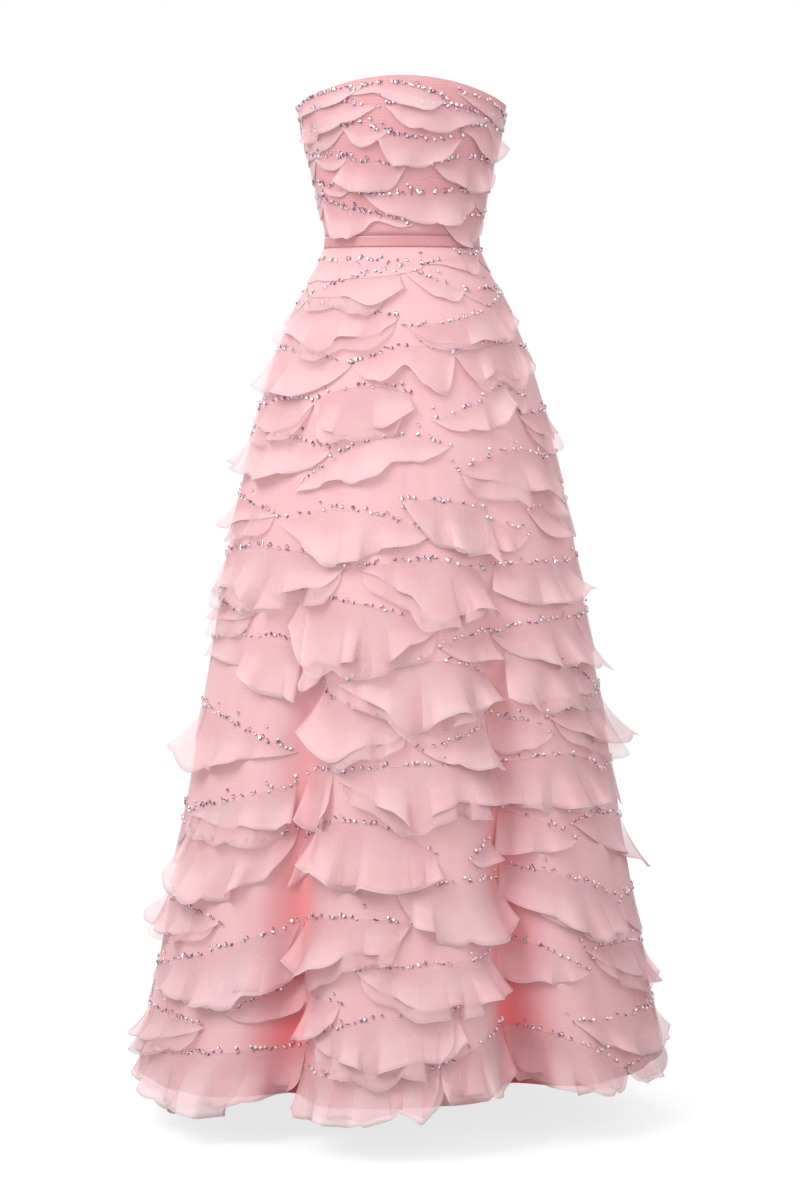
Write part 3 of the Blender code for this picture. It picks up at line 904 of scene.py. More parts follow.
SKIRT_TIERS: tuple[Tier, ...] = (
    Tier("skirt_ruffle_00", (
        Petal(12, 31, 21, 66, 16, (2, 6, 16, 26, 14)),
    )),
    Tier("skirt_ruffle_01", (
        Petal(-66, 73, 52, -2, 40, (4, 14, 23, 42, 26), 0, 3),
        Petal(0, 38, 52, 39, 67, (4, 14, 24, 22, 4)),
    )),
    Tier("skirt_ruffle_02", (
        Petal(-88, 87, 88, -2, 104, (18, 30, 41, 49, 56, 38, 30, 10), -3, 0),
        Petal(2, 116, 102, 69, 74, (4, 28, 36, 41, 38), 0, 3),
    )),
    Tier("skirt_ruffle_03", (
        Petal(-88, 148, 150, -22, 168, (36, 54, 62, 44, 8), -9, 0),
        Petal(-22, 168, 143, 24, 151, (6, 30, 44, 24, 56, 60, 20)),
        Petal(23, 151, 141, 66, 135, (8, 42, 36, 48, 34), 0, 5),
        Petal(68, 142, 142, 86, 146, (10, 24, 20)),
    )),
    Tier("skirt_ruffle_04", (
        Petal(-80, 230, 217, -36, 214, (8, 30, 42, 36, 10), -4, 0),
        Petal(-38, 216, 197, 3, 206, (8, 54, 60, 50, 22), 0, 2),
        Petal(11, 241, 222, 46, 187, (3, 22, 34, 44, 36), 0, 3),
        Petal(45, 196, 203, 60, 213, (8, 30, 16)),
        Petal(52, 236, 233, 80, 232, (12, 32, 33), 0, 5),
    )),
    Tier("skirt_ruffle_05", (
        Petal(-88, 266, 262, -27, 282, (47, 54, 62, 44, 14), -11, 0),
        Petal(-37, 323, 268, 18, 277, (18, 30, 36, 50, 48, 32, 34, 22, 4), -3, 0),
        Petal(20, 311, 285, 67, 294, (4, 22, 34, 48, 56, 66, 44), 0, 4),
    )),
    Tier("skirt_ruffle_06", (
        Petal(-82, 350, 356, -47, 372, (46, 40, 26, 14, 4), -7, 0),
        Petal(-42, 376, 362, 10, 394, (8, 40, 74, 66, 50, 30, 6), -3, 0),
        Petal(0, 349, 350, 31, 363, (8, 36, 60, 68, 64, 78), 0, 4),
        Petal(30, 374, 384, 46, 399, (42, 34, 6)),
        Petal(47, 365, 360, 66, 360, (8, 42, 48), 0, 5),
    )),
    Tier("skirt_ruffle_07", (
        Petal(-84, 434, 414, -18, 437, (30, 58, 52, 72, 58, 44, 8), -3, 0),
        Petal(-14, 440, 428, 27, 446, (4, 14, 28, 46, 70, 78, 66, 54, 58), 0, 4),
        Petal(32, 440, 434, 66, 438, (30, 50, 60, 56, 46), -2, 8),
    )),
    Tier("skirt_ruffle_08", (
        Petal(-88, 494, 500, -51, 506, (30, 24, 18, 12, 4), -6, 0),
        Petal(-34, 478, 487, 11, 518, (42, 90, 80, 74, 62, 34, 6), -3, 0),
        Petal(11, 544, 530, 28, 526, (4, 20, 32, 36, 42), 0, 4),
        Petal(30, 530, 512, 70, 516, (8, 44, 62, 70, 76), 0, 8),
    )),
    Tier("skirt_ruffle_09", (
        Petal(-86, 550, 535, -33, 536, (26, 28, 38, 66, 86), -4, 2),
        Petal(-32, 536, 533, -23, 538, (78, 72, 44)),
        Petal(-19, 592, 560, 28, 584, (6, 28, 54, 92, 82, 68, 52, 40), 0, 4),
        Petal(34, 546, 570, 76, 618, (72, 64, 48, 26, 6), -3, 0),
    )),
    Tier("skirt_ruffle_10", (
        Petal(-78, 640, 652, -33, 687, (68, 80, 60, 30, 5), -6, 0),
        Petal(-24, 603, 628, 2, 650, (58, 74, 48, 28, 8), -7, 0),
        Petal(5, 677, 664, 25, 650, (4, 20, 34, 48, 60), 0, 5),
        Petal(27, 636, 646, 46, 664, (50, 48, 40, 24, 4)),
        Petal(45, 642, 628, 80, 619, (4, 30, 52, 70, 80), 0, 10),
    )),
    Tier("skirt_ruffle_11", (
        Petal(-74, 784, 758, -33, 731, (4, 16, 32, 44, 56), 0, 2),
        Petal(-29, 714, 709, -19, 706, (70, 78, 80), -3, 0),
        Petal(-18, 709, 696, 28, 702, (12, 28, 50, 80, 62, 50, 54, 54), 0, 4),
        Petal(27, 713, 692, 68, 724, (40, 60, 70, 62, 36), -2, 3),
    )),
    Tier("skirt_ruffle_12", (
        Petal(-72, 807, 814, -32, 794, (56, 84, 78, 62, 24), -5, 0),
        Petal(-31, 814, 795, -24, 785, (60, 50, 30), -2, 0),
        Petal(-24, 784, 772, 8, 811, (50, 80, 90, 72, 32), -5, 2),
        Petal(17, 823, 811, 25, 801, (5, 22, 30), 0, 4),
        Petal(30, 765, 780, 50, 809, (56, 52, 40, 24, 5), -3, 0),
        Petal(49, 785, 781, 86, 800, (5, 34, 56, 68, 81), 0, 6),
    )),
    Tier("skirt_ruffle_13", (
        Petal(-88, 892, 904, -49, 918, (62, 56, 46, 28, 8), -12, 0),
        Petal(-27, 909, 897, 2, 902, (62, 76, 46, 42, 12), -6, 0),
        Petal(-2, 859, 850, 28, 855, (6, 60, 80, 80, 62), 0, 5),
        Petal(30, 836, 862, 68, 903, (44, 58, 72, 60, 10), -2, 0),
    )),
    Tier("skirt_ruffle_14", (
        Petal(-84, 1004, 968, -29, 910, (10, 36, 58, 82, 64), 0, 3),
        Petal(-11, 963, 957, 22, 950, (4, 34, 54, 54, 48), 0, 5),
        Petal(27, 930, 948, 48, 984, (48, 56, 48, 28, 5), -4, 0),
        Petal(48, 955, 957, 82, 974, (5, 30, 46, 58, 50), 0, 5),
    )),
    Tier("skirt_ruffle_15", (
        Petal(-88, 1066, 1055, -49, 1058, (50, 46, 40, 24, 5), -7, 0),
        Petal(-44, 1035, 1008, -26, 970, (4, 24, 40, 46, 40), 0, 2),
        Petal(-23, 1006, 1006, -14, 1010, (62, 44, 20), -4, 0),
        Petal(-22, 1056, 1026, 12, 1016, (5, 30, 52, 66, 60, 60, 40), 0, 2),
        Petal(42, 1046, 1052, 82, 1058, (5, 40, 56, 52, 40), 0, 5),
    )),
    Tier("skirt_ruffle_16", (
        Petal(-86, 1134, 1098, -25, 1080, (24, 32, 44, 60, 74, 80, 80, 60, 56), -2, 0),
        Petal(-25, 1097, 1105, 9, 1086, (60, 62, 57, 55, 58, 50, 47, 62, 50), -1, 0),
        Petal(8, 1091, 1062, 27, 1050, (46, 56, 70, 74, 62), 0, 2),
        Petal(27, 1051, 1072, 56, 1124, (62, 70, 70, 62, 46, 14), -2, 0),
        Petal(56, 1118, 1113, 87, 1116, (20, 32, 34, 24, 14), 0, 2),
    )),
)


@dataclass
class RuffleTiers:
    """The petals of the bodice or of the skirt, front and back.

    Runs, falls and offsets are in millimetres and angles are in degrees. The rest are shares and powers,
    and a pair is the least and the most of a size that varies.

    Each petal stands off at the stand angle, less near its sewn line. Its flutes swing it in and out by
    the flute angle, and roll and lean it sideways by shares of its fall. A petal with less than the full
    fall has weaker flutes. Corners that flare also curl outward, and the others are rounded.
    """

    form: GownForm
    tiers: tuple[Tier, ...]
    rests_on: tuple[str, ...]
    on_bodice: bool

    # Petals of the back
    back_fall: float = 0.94
    back_spread: tuple[float, float] = (0.92, 1.05)
    back_shift: float = 1.0

    # Flutes
    flute_run: float = 76.0
    run_spread: tuple[float, float] = (0.8, 1.2)
    fewest_flutes: float = 1.1
    flute_drift: float = 0.20
    drift_waves: tuple[float, float] = (0.7, 1.6)
    flute_depth: float = 0.72
    depth_swing: float = 0.38
    depth_waves: tuple[float, float] = (0.6, 1.5)
    second_wave: float = 0.18
    second_phase: float = 0.8
    flute_angle: float = 17.0
    roll: float = 0.055
    lean: float = 0.09
    lean_spread: tuple[float, float] = (0.3, 1.0)
    sway_power: float = 1.3

    # How a petal stands off
    seam_offset: float = 1.2
    stand: float = 15.0
    stand_root: float = 0.30
    opening_power: float = 0.6
    calm: float = 0.85
    full_fall: float = 42.0
    least_fall: float = 1.5

    # Lobes of the free edge
    scallop_run: float = 62.0
    scallop: float = 0.075
    lobe_drift: float = 0.16
    lobe_shift: float = 0.2
    lobe_power: float = 2.4

    # Corners
    corner_curl: float = 3.4
    corner_width: float = 0.24
    corner_round: float = 24.0
    corner_least: float = 0.15
    flare_power: float = 1.1

    # Sheerer pieces under the petals
    underlay: float = 0.56
    underlay_share: float = 0.6
    underlay_falls: tuple[float, float] = (6.0, 30.0)
    underlay_least: float = 24.0
    underlay_inset: tuple[float, float] = (1.5, 1.0)
    underlay_scale: float = 0.86

    # Flat-lying petals over the side seams
    side_gap: float = 11.0
    side_sag: float = -5.0
    side_falls: tuple[float, float] = (22.0, 62.0)
    side_growth: float = 1.4
    side_overlap: float = 3.0
    side_loose: float = 0.2
    side_lobe: tuple[float, ...] = (0.3, 0.8, 1.0, 0.85, 0.3)

    # The mesh of a petal, with its wall in metres
    thickness: float = 0.45 * MM
    least_radius: float = 60.0 * MM
    column_gap: float = 3.6
    column_range: tuple[int, int] = (22, 90)
    rows: int = 12
    line_steps: int = 25
    bead_line_steps: int = 30
    shade_spread: float = 0.12
    seed: int = 41

    def back_petals(self, tier: Tier, chance: np.random.Generator) -> list[Petal]:
        """The tier's pieces on the back, like those of the front but a little uneven.

        Args:
            tier: The tier.
            chance: Source of the unevenness.

        Returns:
            The petals of the back.
        """
        made = []
        for petal in tier.petals:
            scales = [1.0, 1.0, 1.0]
            if self.on_bodice:
                here = np.array([petal.left, (petal.left + petal.right) / 2, petal.right])
                scales = (self.form.top_drop(180.0 - here) / self.form.top_drop(here)).tolist()
            falls = self.back_fall * scales[1] * chance.uniform(*self.back_spread)
            shift = chance.uniform(-self.back_shift, self.back_shift)
            made.append(petal.mirrored(scales, falls, shift))
        return made

    def side_petals(self, front: tuple[Petal, ...], back: list[Petal]) -> list[Petal]:
        """The flat-lying pieces that close the tier over the two side seams.

        Args:
            front: The tier's petals on the front.
            back: Those on the back.

        Returns:
            A petal for each side whose gap is wide enough.
        """
        made = []
        nearest = max(front, key=lambda petal: petal.right)
        beyond = min(back, key=lambda petal: petal.left)
        right = (nearest.right, nearest.right_drop, beyond.left, beyond.left_drop)
        nearest = max(back, key=lambda petal: petal.right)
        beyond = min(front, key=lambda petal: petal.left)
        left = (nearest.right, nearest.right_drop, beyond.left + 360.0, beyond.left_drop)
        for first, first_drop, last, last_drop in (right, left):
            if last - first < self.side_gap:
                continue
            middle = (first_drop + last_drop) / 2 + self.side_sag
            room = max(abs(petal.middle_drop) for petal in front) ** 0.5
            low = min(self.side_falls[1], self.side_falls[0] + self.side_growth * room)
            falls = tuple(part * low for part in self.side_lobe)
            start, end = first - self.side_overlap, last + self.side_overlap
            made.append(Petal(start, first_drop, middle, end, last_drop, falls, loose=self.side_loose))
        return made

    def flutes(self, share: np.ndarray, length: float, chance: np.random.Generator) -> tuple[np.ndarray, ...]:
        """The flutes of one petal, uneven in width and depth.

        Args:
            share: Share along the sewn line.
            length: The sewn line's length in millimetres.
            chance: Source of the unevenness.

        Returns:
            The swing outward, the roll and the lean at each share, each about -1 to 1.
        """
        turn = 2 * math.pi
        count = max(self.fewest_flutes, length / self.flute_run * chance.uniform(*self.run_spread))
        waves = share * chance.uniform(*self.drift_waves) + chance.uniform()
        phase = turn * (count * share + chance.uniform() + self.flute_drift * np.sin(turn * waves))
        waves = share * chance.uniform(*self.depth_waves) + chance.uniform()
        depth = self.flute_depth + self.depth_swing * np.sin(turn * waves)
        swing = (np.sin(phase) + self.second_wave * np.sin(2 * phase + self.second_phase)) * depth
        return swing, -np.sin(2 * phase) * depth, np.cos(phase) * depth * chance.choice([-1.0, 1.0])

    def scallops(self, share: np.ndarray, length: float, chance: np.random.Generator) -> np.ndarray:
        """Rounded lobes that meet in cusps along the free edge.

        Args:
            share: Share along the sewn line.
            length: The sewn line's length in millimetres.
            chance: Source of the unevenness.

        Returns:
            About -1 in a cusp and 0.5 in the middle of a lobe.
        """
        lobes = max(1.0, round(length / self.scallop_run * chance.uniform(*self.run_spread)))
        several = lobes > 1.0
        drift = self.lobe_drift * np.sin(2 * math.pi * (share + chance.uniform())) * several
        shift = chance.uniform(-self.lobe_shift, self.lobe_shift) * several
        place = (lobes * share + drift + shift) % 1.0
        return 0.5 - 1.5 * np.abs(2 * place - 1.0) ** self.lobe_power

    def petal_grid(self, petal: Petal, chance: np.random.Generator) -> tuple[np.ndarray, ...]:
        """Points of one petal and its flat coordinates.

        Args:
            petal: The piece.
            chance: Source of its flutes' unevenness.

        Returns:
            The points, their flat coordinates, their share toward the free edge and their valley share.
        """
        rough = np.linspace(0.0, 1.0, self.line_steps)
        line = self.form.place(petal.sewn_angle(rough), petal.sewn_drop(rough), 0.0)
        length = float(np.linalg.norm(np.diff(line, axis=0), axis=1).sum()) / MM
        columns = int(np.clip(length / self.column_gap, *self.column_range))
        share = np.linspace(0.0, 1.0, columns)[:, None]
        down = np.linspace(0.0, 1.0, self.rows)[None, :]
        swing, roll, lean = self.flutes(share, length, chance)

        # Length of the free cloth, with its lobes and corners
        fall = np.maximum(petal.fall(share), self.least_fall)
        strength = np.minimum(fall / self.full_fall, 1.0)
        fall = fall * (1.0 + self.scallop * self.scallops(share, length, chance))
        for flare, inward in ((petal.left_flare, share), (petal.right_flare, 1.0 - share)):
            if flare == 0.0:
                past = np.clip(inward * length / self.corner_round, 0.0, 1.0)
                rounded = np.sqrt(1.0 - (1.0 - past) ** 2)
                fall = fall * (self.corner_least + (1.0 - self.corner_least) * rounded)

        # Slope of the cloth, which gives how far out and how far down each point lies
        corners = -petal.left_flare * np.exp(-((share / self.corner_width) ** 2))
        corners = corners + petal.right_flare * np.exp(-(((1 - share) / self.corner_width) ** 2))
        strength = strength * petal.loose
        opened = down**self.opening_power
        stand = self.stand_root + (1.0 - self.stand_root) * opened
        slope = self.stand * petal.loose * stand * (self.calm + (1.0 - self.calm) * strength)
        slope = slope + self.flute_angle * swing * strength * opened
        slope = np.radians(slope + self.corner_curl * corners * down)
        step = fall / math.cos(math.radians(self.stand)) / (self.rows - 1)
        out = np.cumsum(np.sin(slope) * step, axis=1) - np.sin(slope[:, :1]) * step
        sink = np.cumsum(np.cos(slope) * step, axis=1) - np.cos(slope[:, :1]) * step

        # Where each point lies round the body, swayed by the flutes and drawn out by the flares
        sewn_angle = petal.sewn_angle(share)
        radius = np.hypot(*np.moveaxis(self.form.place(sewn_angle, petal.sewn_drop(share), 0.0), -1, 0)[:2])
        sway = self.roll * roll + self.lean * chance.uniform(*self.lean_spread) * lean
        aside = fall * strength * down**self.sway_power * sway
        flare = petal.left_flare * (1 - share) ** 3 + petal.right_flare * share**3
        angle = sewn_angle + flare * down**self.flare_power
        angle = angle + np.degrees(aside * MM / np.maximum(radius, self.least_radius))

        drop = petal.sewn_drop(share) + sink
        grid = self.form.place(angle, drop, self.seam_offset + out, sewn_angle)
        flat = np.stack(np.broadcast_arrays(share * length * MM, fall * down * MM), -1)
        toward = np.broadcast_to(down, drop.shape)
        return grid, flat, toward, self.form.valley_share(angle, drop)

    def underlays(self, tier: Tier, petals: list[Petal], chance: np.random.Generator) -> list[Petal]:
        """The sheerer pieces sewn under some wide petals of the skirt, and under all at the hem.

        Args:
            tier: The tier.
            petals: Its petals, front and back.
            chance: Source of the unevenness.

        Returns:
            The pieces that lie under them.
        """
        made = []
        at_hem = tier is self.tiers[-1]
        for petal in petals:
            longer = chance.uniform(*self.underlay_falls)
            wide = petal.right - petal.left > self.underlay_least
            chosen = chance.uniform() < self.underlay_share and wide
            if self.on_bodice or petal.loose < 1.0 or not (chosen or at_hem):
                continue
            extra = 0.0 if at_hem else longer
            made.append(
                replace(
                    petal,
                    left=petal.left + self.underlay_inset[0],
                    right=petal.right - self.underlay_inset[1],
                    falls=tuple(self.underlay_scale * fall + extra for fall in petal.falls),
                    left_flare=0.0,
                    right_flare=0.0,
                )
            )
        return made

    def sewn_lines(self) -> list[tuple[np.ndarray, np.ndarray]]:
        """Places along every petal's sewn line, for the beading.

        Returns:
            The angles and the drops of each line.
        """
        chance = np.random.default_rng(self.seed)
        lines = []
        share = np.linspace(0.0, 1.0, self.bead_line_steps)
        for tier in self.tiers:
            back = self.back_petals(tier, chance)
            for petal in list(tier.petals) + back + self.side_petals(tier.petals, back):
                lines.append((petal.sewn_angle(share), petal.sewn_drop(share)))
        return lines

    def build(self, material: bpy.types.Material) -> None:
        """Make each tier's petals as one piece.

        Args:
            material: The organza.
        """
        chance = np.random.default_rng(self.seed)
        backs = [self.back_petals(tier, chance) for tier in self.tiers]
        for tier, back in zip(self.tiers, backs):
            stock = MeshStock()
            longest = 0.0
            petals = list(tier.petals) + back + self.side_petals(tier.petals, back)
            under = self.underlays(tier, petals, chance)
            for petal in petals + under:
                grid, flat, toward, valley = self.petal_grid(petal, chance)
                sheer = self.underlay if petal in under else 0.0
                shade = chance.uniform(-self.shade_spread, self.shade_spread)
                stock.add_wall(grid, self.thickness, flat, toward, valley, shade, sheer)
                longest = max(longest, float(np.linalg.norm(np.diff(grid, axis=1), axis=-1).sum(1).max()))
            piece = stock.make(tier.name + "_petals", material)
            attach(piece, "root")
            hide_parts(f"{tier.name}_front", f"{tier.name}_back")
            LOG.info("%s: %d petals, %.3f m2", piece.name, len(petals) + len(under), stock.area)


# Body cloth


@dataclass
class Panel:
    """A panel of the body cloth between two angles."""

    name: str
    first: float
    last: float


@dataclass
class BodyCloth:
    """Bodice, waistband and skirt panels, on the form that the solids have.

    The wall, half a seam's gap and the radius that turns it into an angle are in metres. The step between
    columns is in degrees. The gap to the waistband is in millimetres, and the fullness is the least share
    of its flat rectangle that a panel fills.
    """

    form: GownForm
    wall: float = 1.3 * MM
    seam_half: float = 0.04 * MM
    band_gap: float = 0.3
    usual_radius: float = 0.2
    least_fullness: float = 0.31
    spans: tuple[tuple[str, float, float], ...] = (
        ("front", -90.0, 90.0),
        ("back_left", 90.0, 180.0),
        ("back_right", 180.0, 270.0),
    )
    step: float = 0.8
    creases: tuple[Crease, ...] = (
        Crease(2.0, 40, 470, 2.2, 1.1),
        Crease(-12.0, 560, 1140, 3.0, 1.3, 1.0),
        Crease(7.0, 520, 1140, 3.0, 1.2, 1.0),
        Crease(20.0, 560, 1140, 4.0, 1.6, 1.5),
        Crease(-21.0, 760, 1140, 4.0, 1.5, -1.0),
        Crease(-48.0, 300, 1140, 4.0, 2.4, -3.0),
        Crease(-66.0, 420, 1140, 5.0, 2.8, -3.0),
        Crease(48.0, 360, 1140, 4.0, 2.2, 3.0),
        Crease(67.0, 300, 1140, 5.0, 3.0, 3.0),
        Crease(96.0, 250, 1140, 6.0, 3.0, 0.0),
        Crease(132.0, 380, 1140, 6.0, 3.2, 2.0),
        Crease(143.0, 600, 1140, 4.0, 1.9, -1.0),
        Crease(172.0, 300, 1140, 4.0, 2.0, 0.0),
        Crease(187.0, 420, 1140, 4.5, 2.4, 1.0),
        Crease(221.0, 340, 1140, 6.0, 3.0, -2.0),
        Crease(232.0, 640, 1140, 4.0, 2.0, 1.0),
        Crease(265.0, 300, 1140, 6.0, 3.2, 0.0),
    )

    def crease_depth(self, angle: np.ndarray, drop: np.ndarray) -> np.ndarray:
        """Depth of the soft troughs.

        Args:
            angle: Angles round the body.
            drop: Drops below the waist, in millimetres.

        Returns:
            The depth at each place, in millimetres.
        """
        depth = np.zeros_like(drop)
        for crease in self.creases:
            run = np.clip((drop - crease.top_drop) / (crease.low_drop - crease.top_drop), 0.0, 1.0)
            away = (angle - crease.angle - crease.lean * run + 180.0) % 360.0 - 180.0
            depth = depth + crease.depth * run * np.exp(-0.5 * (away / crease.spread) ** 2)
        return depth

    def panel(
        self,
        panel: Panel,
        top: np.ndarray,
        low: np.ndarray,
        rows: int,
        proud: float,
        material: bpy.types.Material,
    ) -> bpy.types.Object:
        """Build one panel's wall and put it in place of its solid.

        Args:
            panel: The panel's name and angles.
            top: Drop of its upper edge at each column, in millimetres.
            low: Drop of its lower edge at each column, in millimetres.
            rows: How many rows of points it has.
            proud: How far its middle stands outside the body cloth, in millimetres.
            material: Its cloth.

        Returns:
            The piece.
        """
        angle = self.columns(panel)[:, None]
        share = np.linspace(0.0, 1.0, rows)[None, :]
        drop = top[:, None] + (low - top)[:, None] * share
        offset = proud - self.crease_depth(angle, drop)
        grid = self.form.place(angle, drop, offset)
        run = np.concatenate([[0.0], np.cumsum(np.linalg.norm(np.diff(grid[:, -1], axis=0), axis=1))])
        flat = np.stack(
            [np.broadcast_to(run[:, None], drop.shape), drop * MM], -1
        )
        stock = MeshStock()
        valley = self.form.valley_share(angle, drop)
        stock.add_wall(grid, self.wall, flat, np.broadcast_to(share, drop.shape), valley)
        piece = stock.make(panel.name + "_cloth", material)
        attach(piece, "root")
        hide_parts(panel.name)
        return piece

    def columns(self, panel: Panel) -> np.ndarray:
        """Angles of a panel's columns, its ends drawn in by half a seam's gap.

        Args:
            panel: The panel.

        Returns:
            The angles, from its first to its last.
        """
        count = int(round((panel.last - panel.first) / self.step)) + 1
        angles = np.linspace(panel.first, panel.last, count)
        draw = math.degrees(self.seam_half / self.usual_radius)
        angles[0] += draw
        angles[-1] -= draw
        return angles

    def build(
        self, bodice: bpy.types.Material, skirt: bpy.types.Material, satin: bpy.types.Material
    ) -> None:
        """Make every panel.

        Args:
            bodice: Cloth of the bodice.
            skirt: Cloth of the skirt.
            satin: Cloth of the waistband.
        """
        # An edge is a drop in millimetres, or what gives the drop at each angle
        half = self.form.band_half / MM
        for garment, top, low, rows, proud, material, slot in (
            ("bodice", self.form.top_drop, -half - self.band_gap, 24, -0.7, bodice, Slot.TULLE),
            ("skirt", half + self.band_gap, self.form.hem_drop, 84, -0.7, skirt, Slot.TULLE),
            ("waistband", -half, half, 8, 0.2, satin, Slot.SATIN),
        ):
            for part, first, last in self.spans:
                panel = Panel(f"{garment}_{part}", first, last)
                angles = self.columns(panel)
                upper, lower = (
                    edge(angles) if callable(edge) else np.full(len(angles), edge) for edge in (top, low)
                )
                piece = self.panel(panel, upper, lower, rows, proud, material)


# Beading


@dataclass(frozen=True)
class BeadRun:
    """How one kind of bead is strewn along the sewn lines.

    Places come at each spacing, and a share of them is kept. A bead then rises between the two rises and
    shifts along the line by up to the scatter. Its size is between the least and the most. All but the
    share and the seed are in metres.
    """

    name: str
    spacing: float
    kept: float
    rise_low: float
    rise_high: float
    scatter: float
    least: float
    most: float
    seed: int
    bodice_only: bool = False


@dataclass
class Beading:
    """Stones and bugle beads along every sewn line.

    A bead's middle stands off the cloth by stand_off and above the sewn line by rise, in millimetres. The
    probe is how far apart the places lie that give the cloth's directions. Tilt is in radians.
    """

    form: GownForm
    bodice_lines: list[tuple[np.ndarray, np.ndarray]]
    skirt_lines: list[tuple[np.ndarray, np.ndarray]]
    stand_off: float = 1.9
    edge_room: float = 22.0
    edge_margin: float = 6.0
    rise: float = 1.0
    probe: float = 10.0
    tilt: tuple[float, float, float] = (0.35, 0.35, 1.6)
    stone_runs: tuple[BeadRun, ...] = (
        BeadRun("beading_stones", 0.0080, 0.62, -0.0020, 0.0045, 0.0030, 0.0021, 0.0030, 5),
        BeadRun("beading_bodice", 0.0085, 0.60, -0.0020, 0.0065, 0.0040, 0.0020, 0.0028, 23, True),
        BeadRun("beading_strays", 0.0460, 0.40, 0.0060, 0.0170, 0.0120, 0.0019, 0.0026, 9),
    )
    bugle_run: BeadRun = BeadRun("beading_bugles", 0.0230, 0.52, -0.0020, 0.0050, 0.0060, 0.0026, 0.0036, 17)

    def path_mesh(self, lines: list[tuple[np.ndarray, np.ndarray]]) -> bpy.types.Mesh:
        """The sewn lines as edges, with the cloth's outward and upward directions on each point.

        The upward direction shortens near the bodice's top edge, so that no bead rises past it.

        Args:
            lines: Angles and drops along each sewn line.

        Returns:
            The mesh.
        """
        points: list[np.ndarray] = []
        outward: list[np.ndarray] = []
        upward: list[np.ndarray] = []
        edges: list[np.ndarray] = []
        count = 0
        for angle, drop in lines:
            level = drop - self.rise
            here = self.form.place(angle, level, self.stand_off)
            out = self.form.place(angle, level, self.stand_off + self.probe) - here
            up = self.form.place(angle, level - self.probe, self.stand_off) - here
            up /= np.linalg.norm(up, axis=1, keepdims=True)
            below_edge = drop - self.form.top_drop(angle) - self.edge_margin
            room = np.clip(below_edge / self.edge_room, 0.0, 1.0)
            along = np.gradient(here, axis=0)
            facing = np.cross(along, up)
            facing *= np.sign(np.sum(facing * out, axis=1, keepdims=True))
            facing /= np.linalg.norm(facing, axis=1, keepdims=True)
            points.append(here)
            outward.append(facing)
            upward.append(up * room[:, None])
            number = count + np.arange(len(here))
            edges.append(np.stack([number[:-1], number[1:]], -1))
            count += len(here)
        mesh = bpy.data.meshes.new("sewn_lines")
        mesh.from_pydata(np.concatenate(points).tolist(), np.concatenate(edges).tolist(), [])
        for title, values in (("outward", outward), ("upward", upward)):
            attribute = mesh.attributes.new(title, "FLOAT_VECTOR", "POINT")
            attribute.data.foreach_set("vector", np.concatenate(values).astype(np.float32).ravel())
        return mesh

    def stone(self) -> bpy.types.Object:
        """A round faceted stone: a flat table, a ring of slanted facets and a flat back.

        Returns:
            The stone, of radius 1.
        """
        # Each ring has a radius, a height and a turn that is counted in sides
        sides = 8
        table, girdle, foot = (0.55, 0.62, 0.5), (1.0, 0.10, 0.0), (0.9, -0.25, 0.0)
        points = []
        for radius, height, turn in (table, girdle, foot):
            for i in range(sides):
                around = 2 * math.pi * (i + turn) / sides
                points.append((radius * math.cos(around), radius * math.sin(around), height))
        faces: list[tuple[int, ...]] = [tuple(range(sides))]
        for i in range(sides):
            j = (i + 1) % sides
            faces.append((i, sides + i, sides + j))
            faces.append((i, sides + j, j))
        for i in range(sides):
            j = (i + 1) % sides
            faces.append((sides + i, 2 * sides + i, 2 * sides + j, sides + j))
        faces.append(tuple(range(3 * sides - 1, 2 * sides - 1, -1)))
        return self.bead("stone", points, faces)

    def bugle(self) -> bpy.types.Object:
        """A bugle bead: a six-sided tube that lies along its own X axis.

        Returns:
            The bead, of half length 1.
        """
        sides = 6
        half = 1.0
        radius = 0.30
        points = []
        for end in (-half, half):
            for i in range(sides):
                around = 2 * math.pi * i / sides
                points.append((end, radius * math.cos(around), radius * math.sin(around)))
        faces: list[tuple[int, ...]] = [tuple(range(sides)), tuple(range(2 * sides - 1, sides - 1, -1))]
        for i in range(sides):
            j = (i + 1) % sides
            faces.append((j, i, sides + i, sides + j))
        return self.bead("bugle", points, faces)

    def bead(self, name: str, points: list, faces: list) -> bpy.types.Object:
        """A bead's object, with a value on each facet that picks among its tint, a painted dark reflection
        and a painted glint.

        Args:
            name: The bead's name.
            points: Its points.
            faces: Its facets.

        Returns:
            The object, which is linked nowhere.
        """
        mesh = bpy.data.meshes.new(name)
        mesh.from_pydata(points, [], faces)
        facet = mesh.attributes.new("facet", "FLOAT", "FACE")
        # The facets' tones: dark ones carry a painted dark reflection and bright ones a painted glint.
        dark_reflection, tinted, bright_glint = 0.0, 0.5, 1.0
        tones = (tinted,) + (dark_reflection,) * 3 + (tinted,) * 3 + (bright_glint,) * 3 + (tinted,) * 2 + (bright_glint,)
        facet.data.foreach_set("value", [tones[k % len(tones)] for k in range(len(faces))])
        return bpy.data.objects.new(name, mesh)

    def tree(self) -> bpy.types.GeometryNodeTree:
        """The node tree that strews beads along the lines.

        Returns:
            The tree, with an input for each size of a run.
        """
        tree = bpy.data.node_groups.new("strew_beads", "GeometryNodeTree")
        face = tree.interface
        face.new_socket("Geometry", in_out="INPUT", socket_type="NodeSocketGeometry")
        for title, kind in (
            ("Spacing", "NodeSocketFloat"), ("Kept", "NodeSocketFloat"),
            ("Rise Low", "NodeSocketFloat"), ("Rise High", "NodeSocketFloat"),
            ("Scatter", "NodeSocketFloat"), ("Least", "NodeSocketFloat"), ("Most", "NodeSocketFloat"),
            ("Seed", "NodeSocketInt"), ("Bead", "NodeSocketObject"), ("Finish", "NodeSocketMaterial"),
        ):
            face.new_socket(title, in_out="INPUT", socket_type=kind)
        face.new_socket("Geometry", in_out="OUTPUT", socket_type="NodeSocketGeometry")
        board = NodeBoard(tree)
        given = board.node("NodeGroupInput").outputs

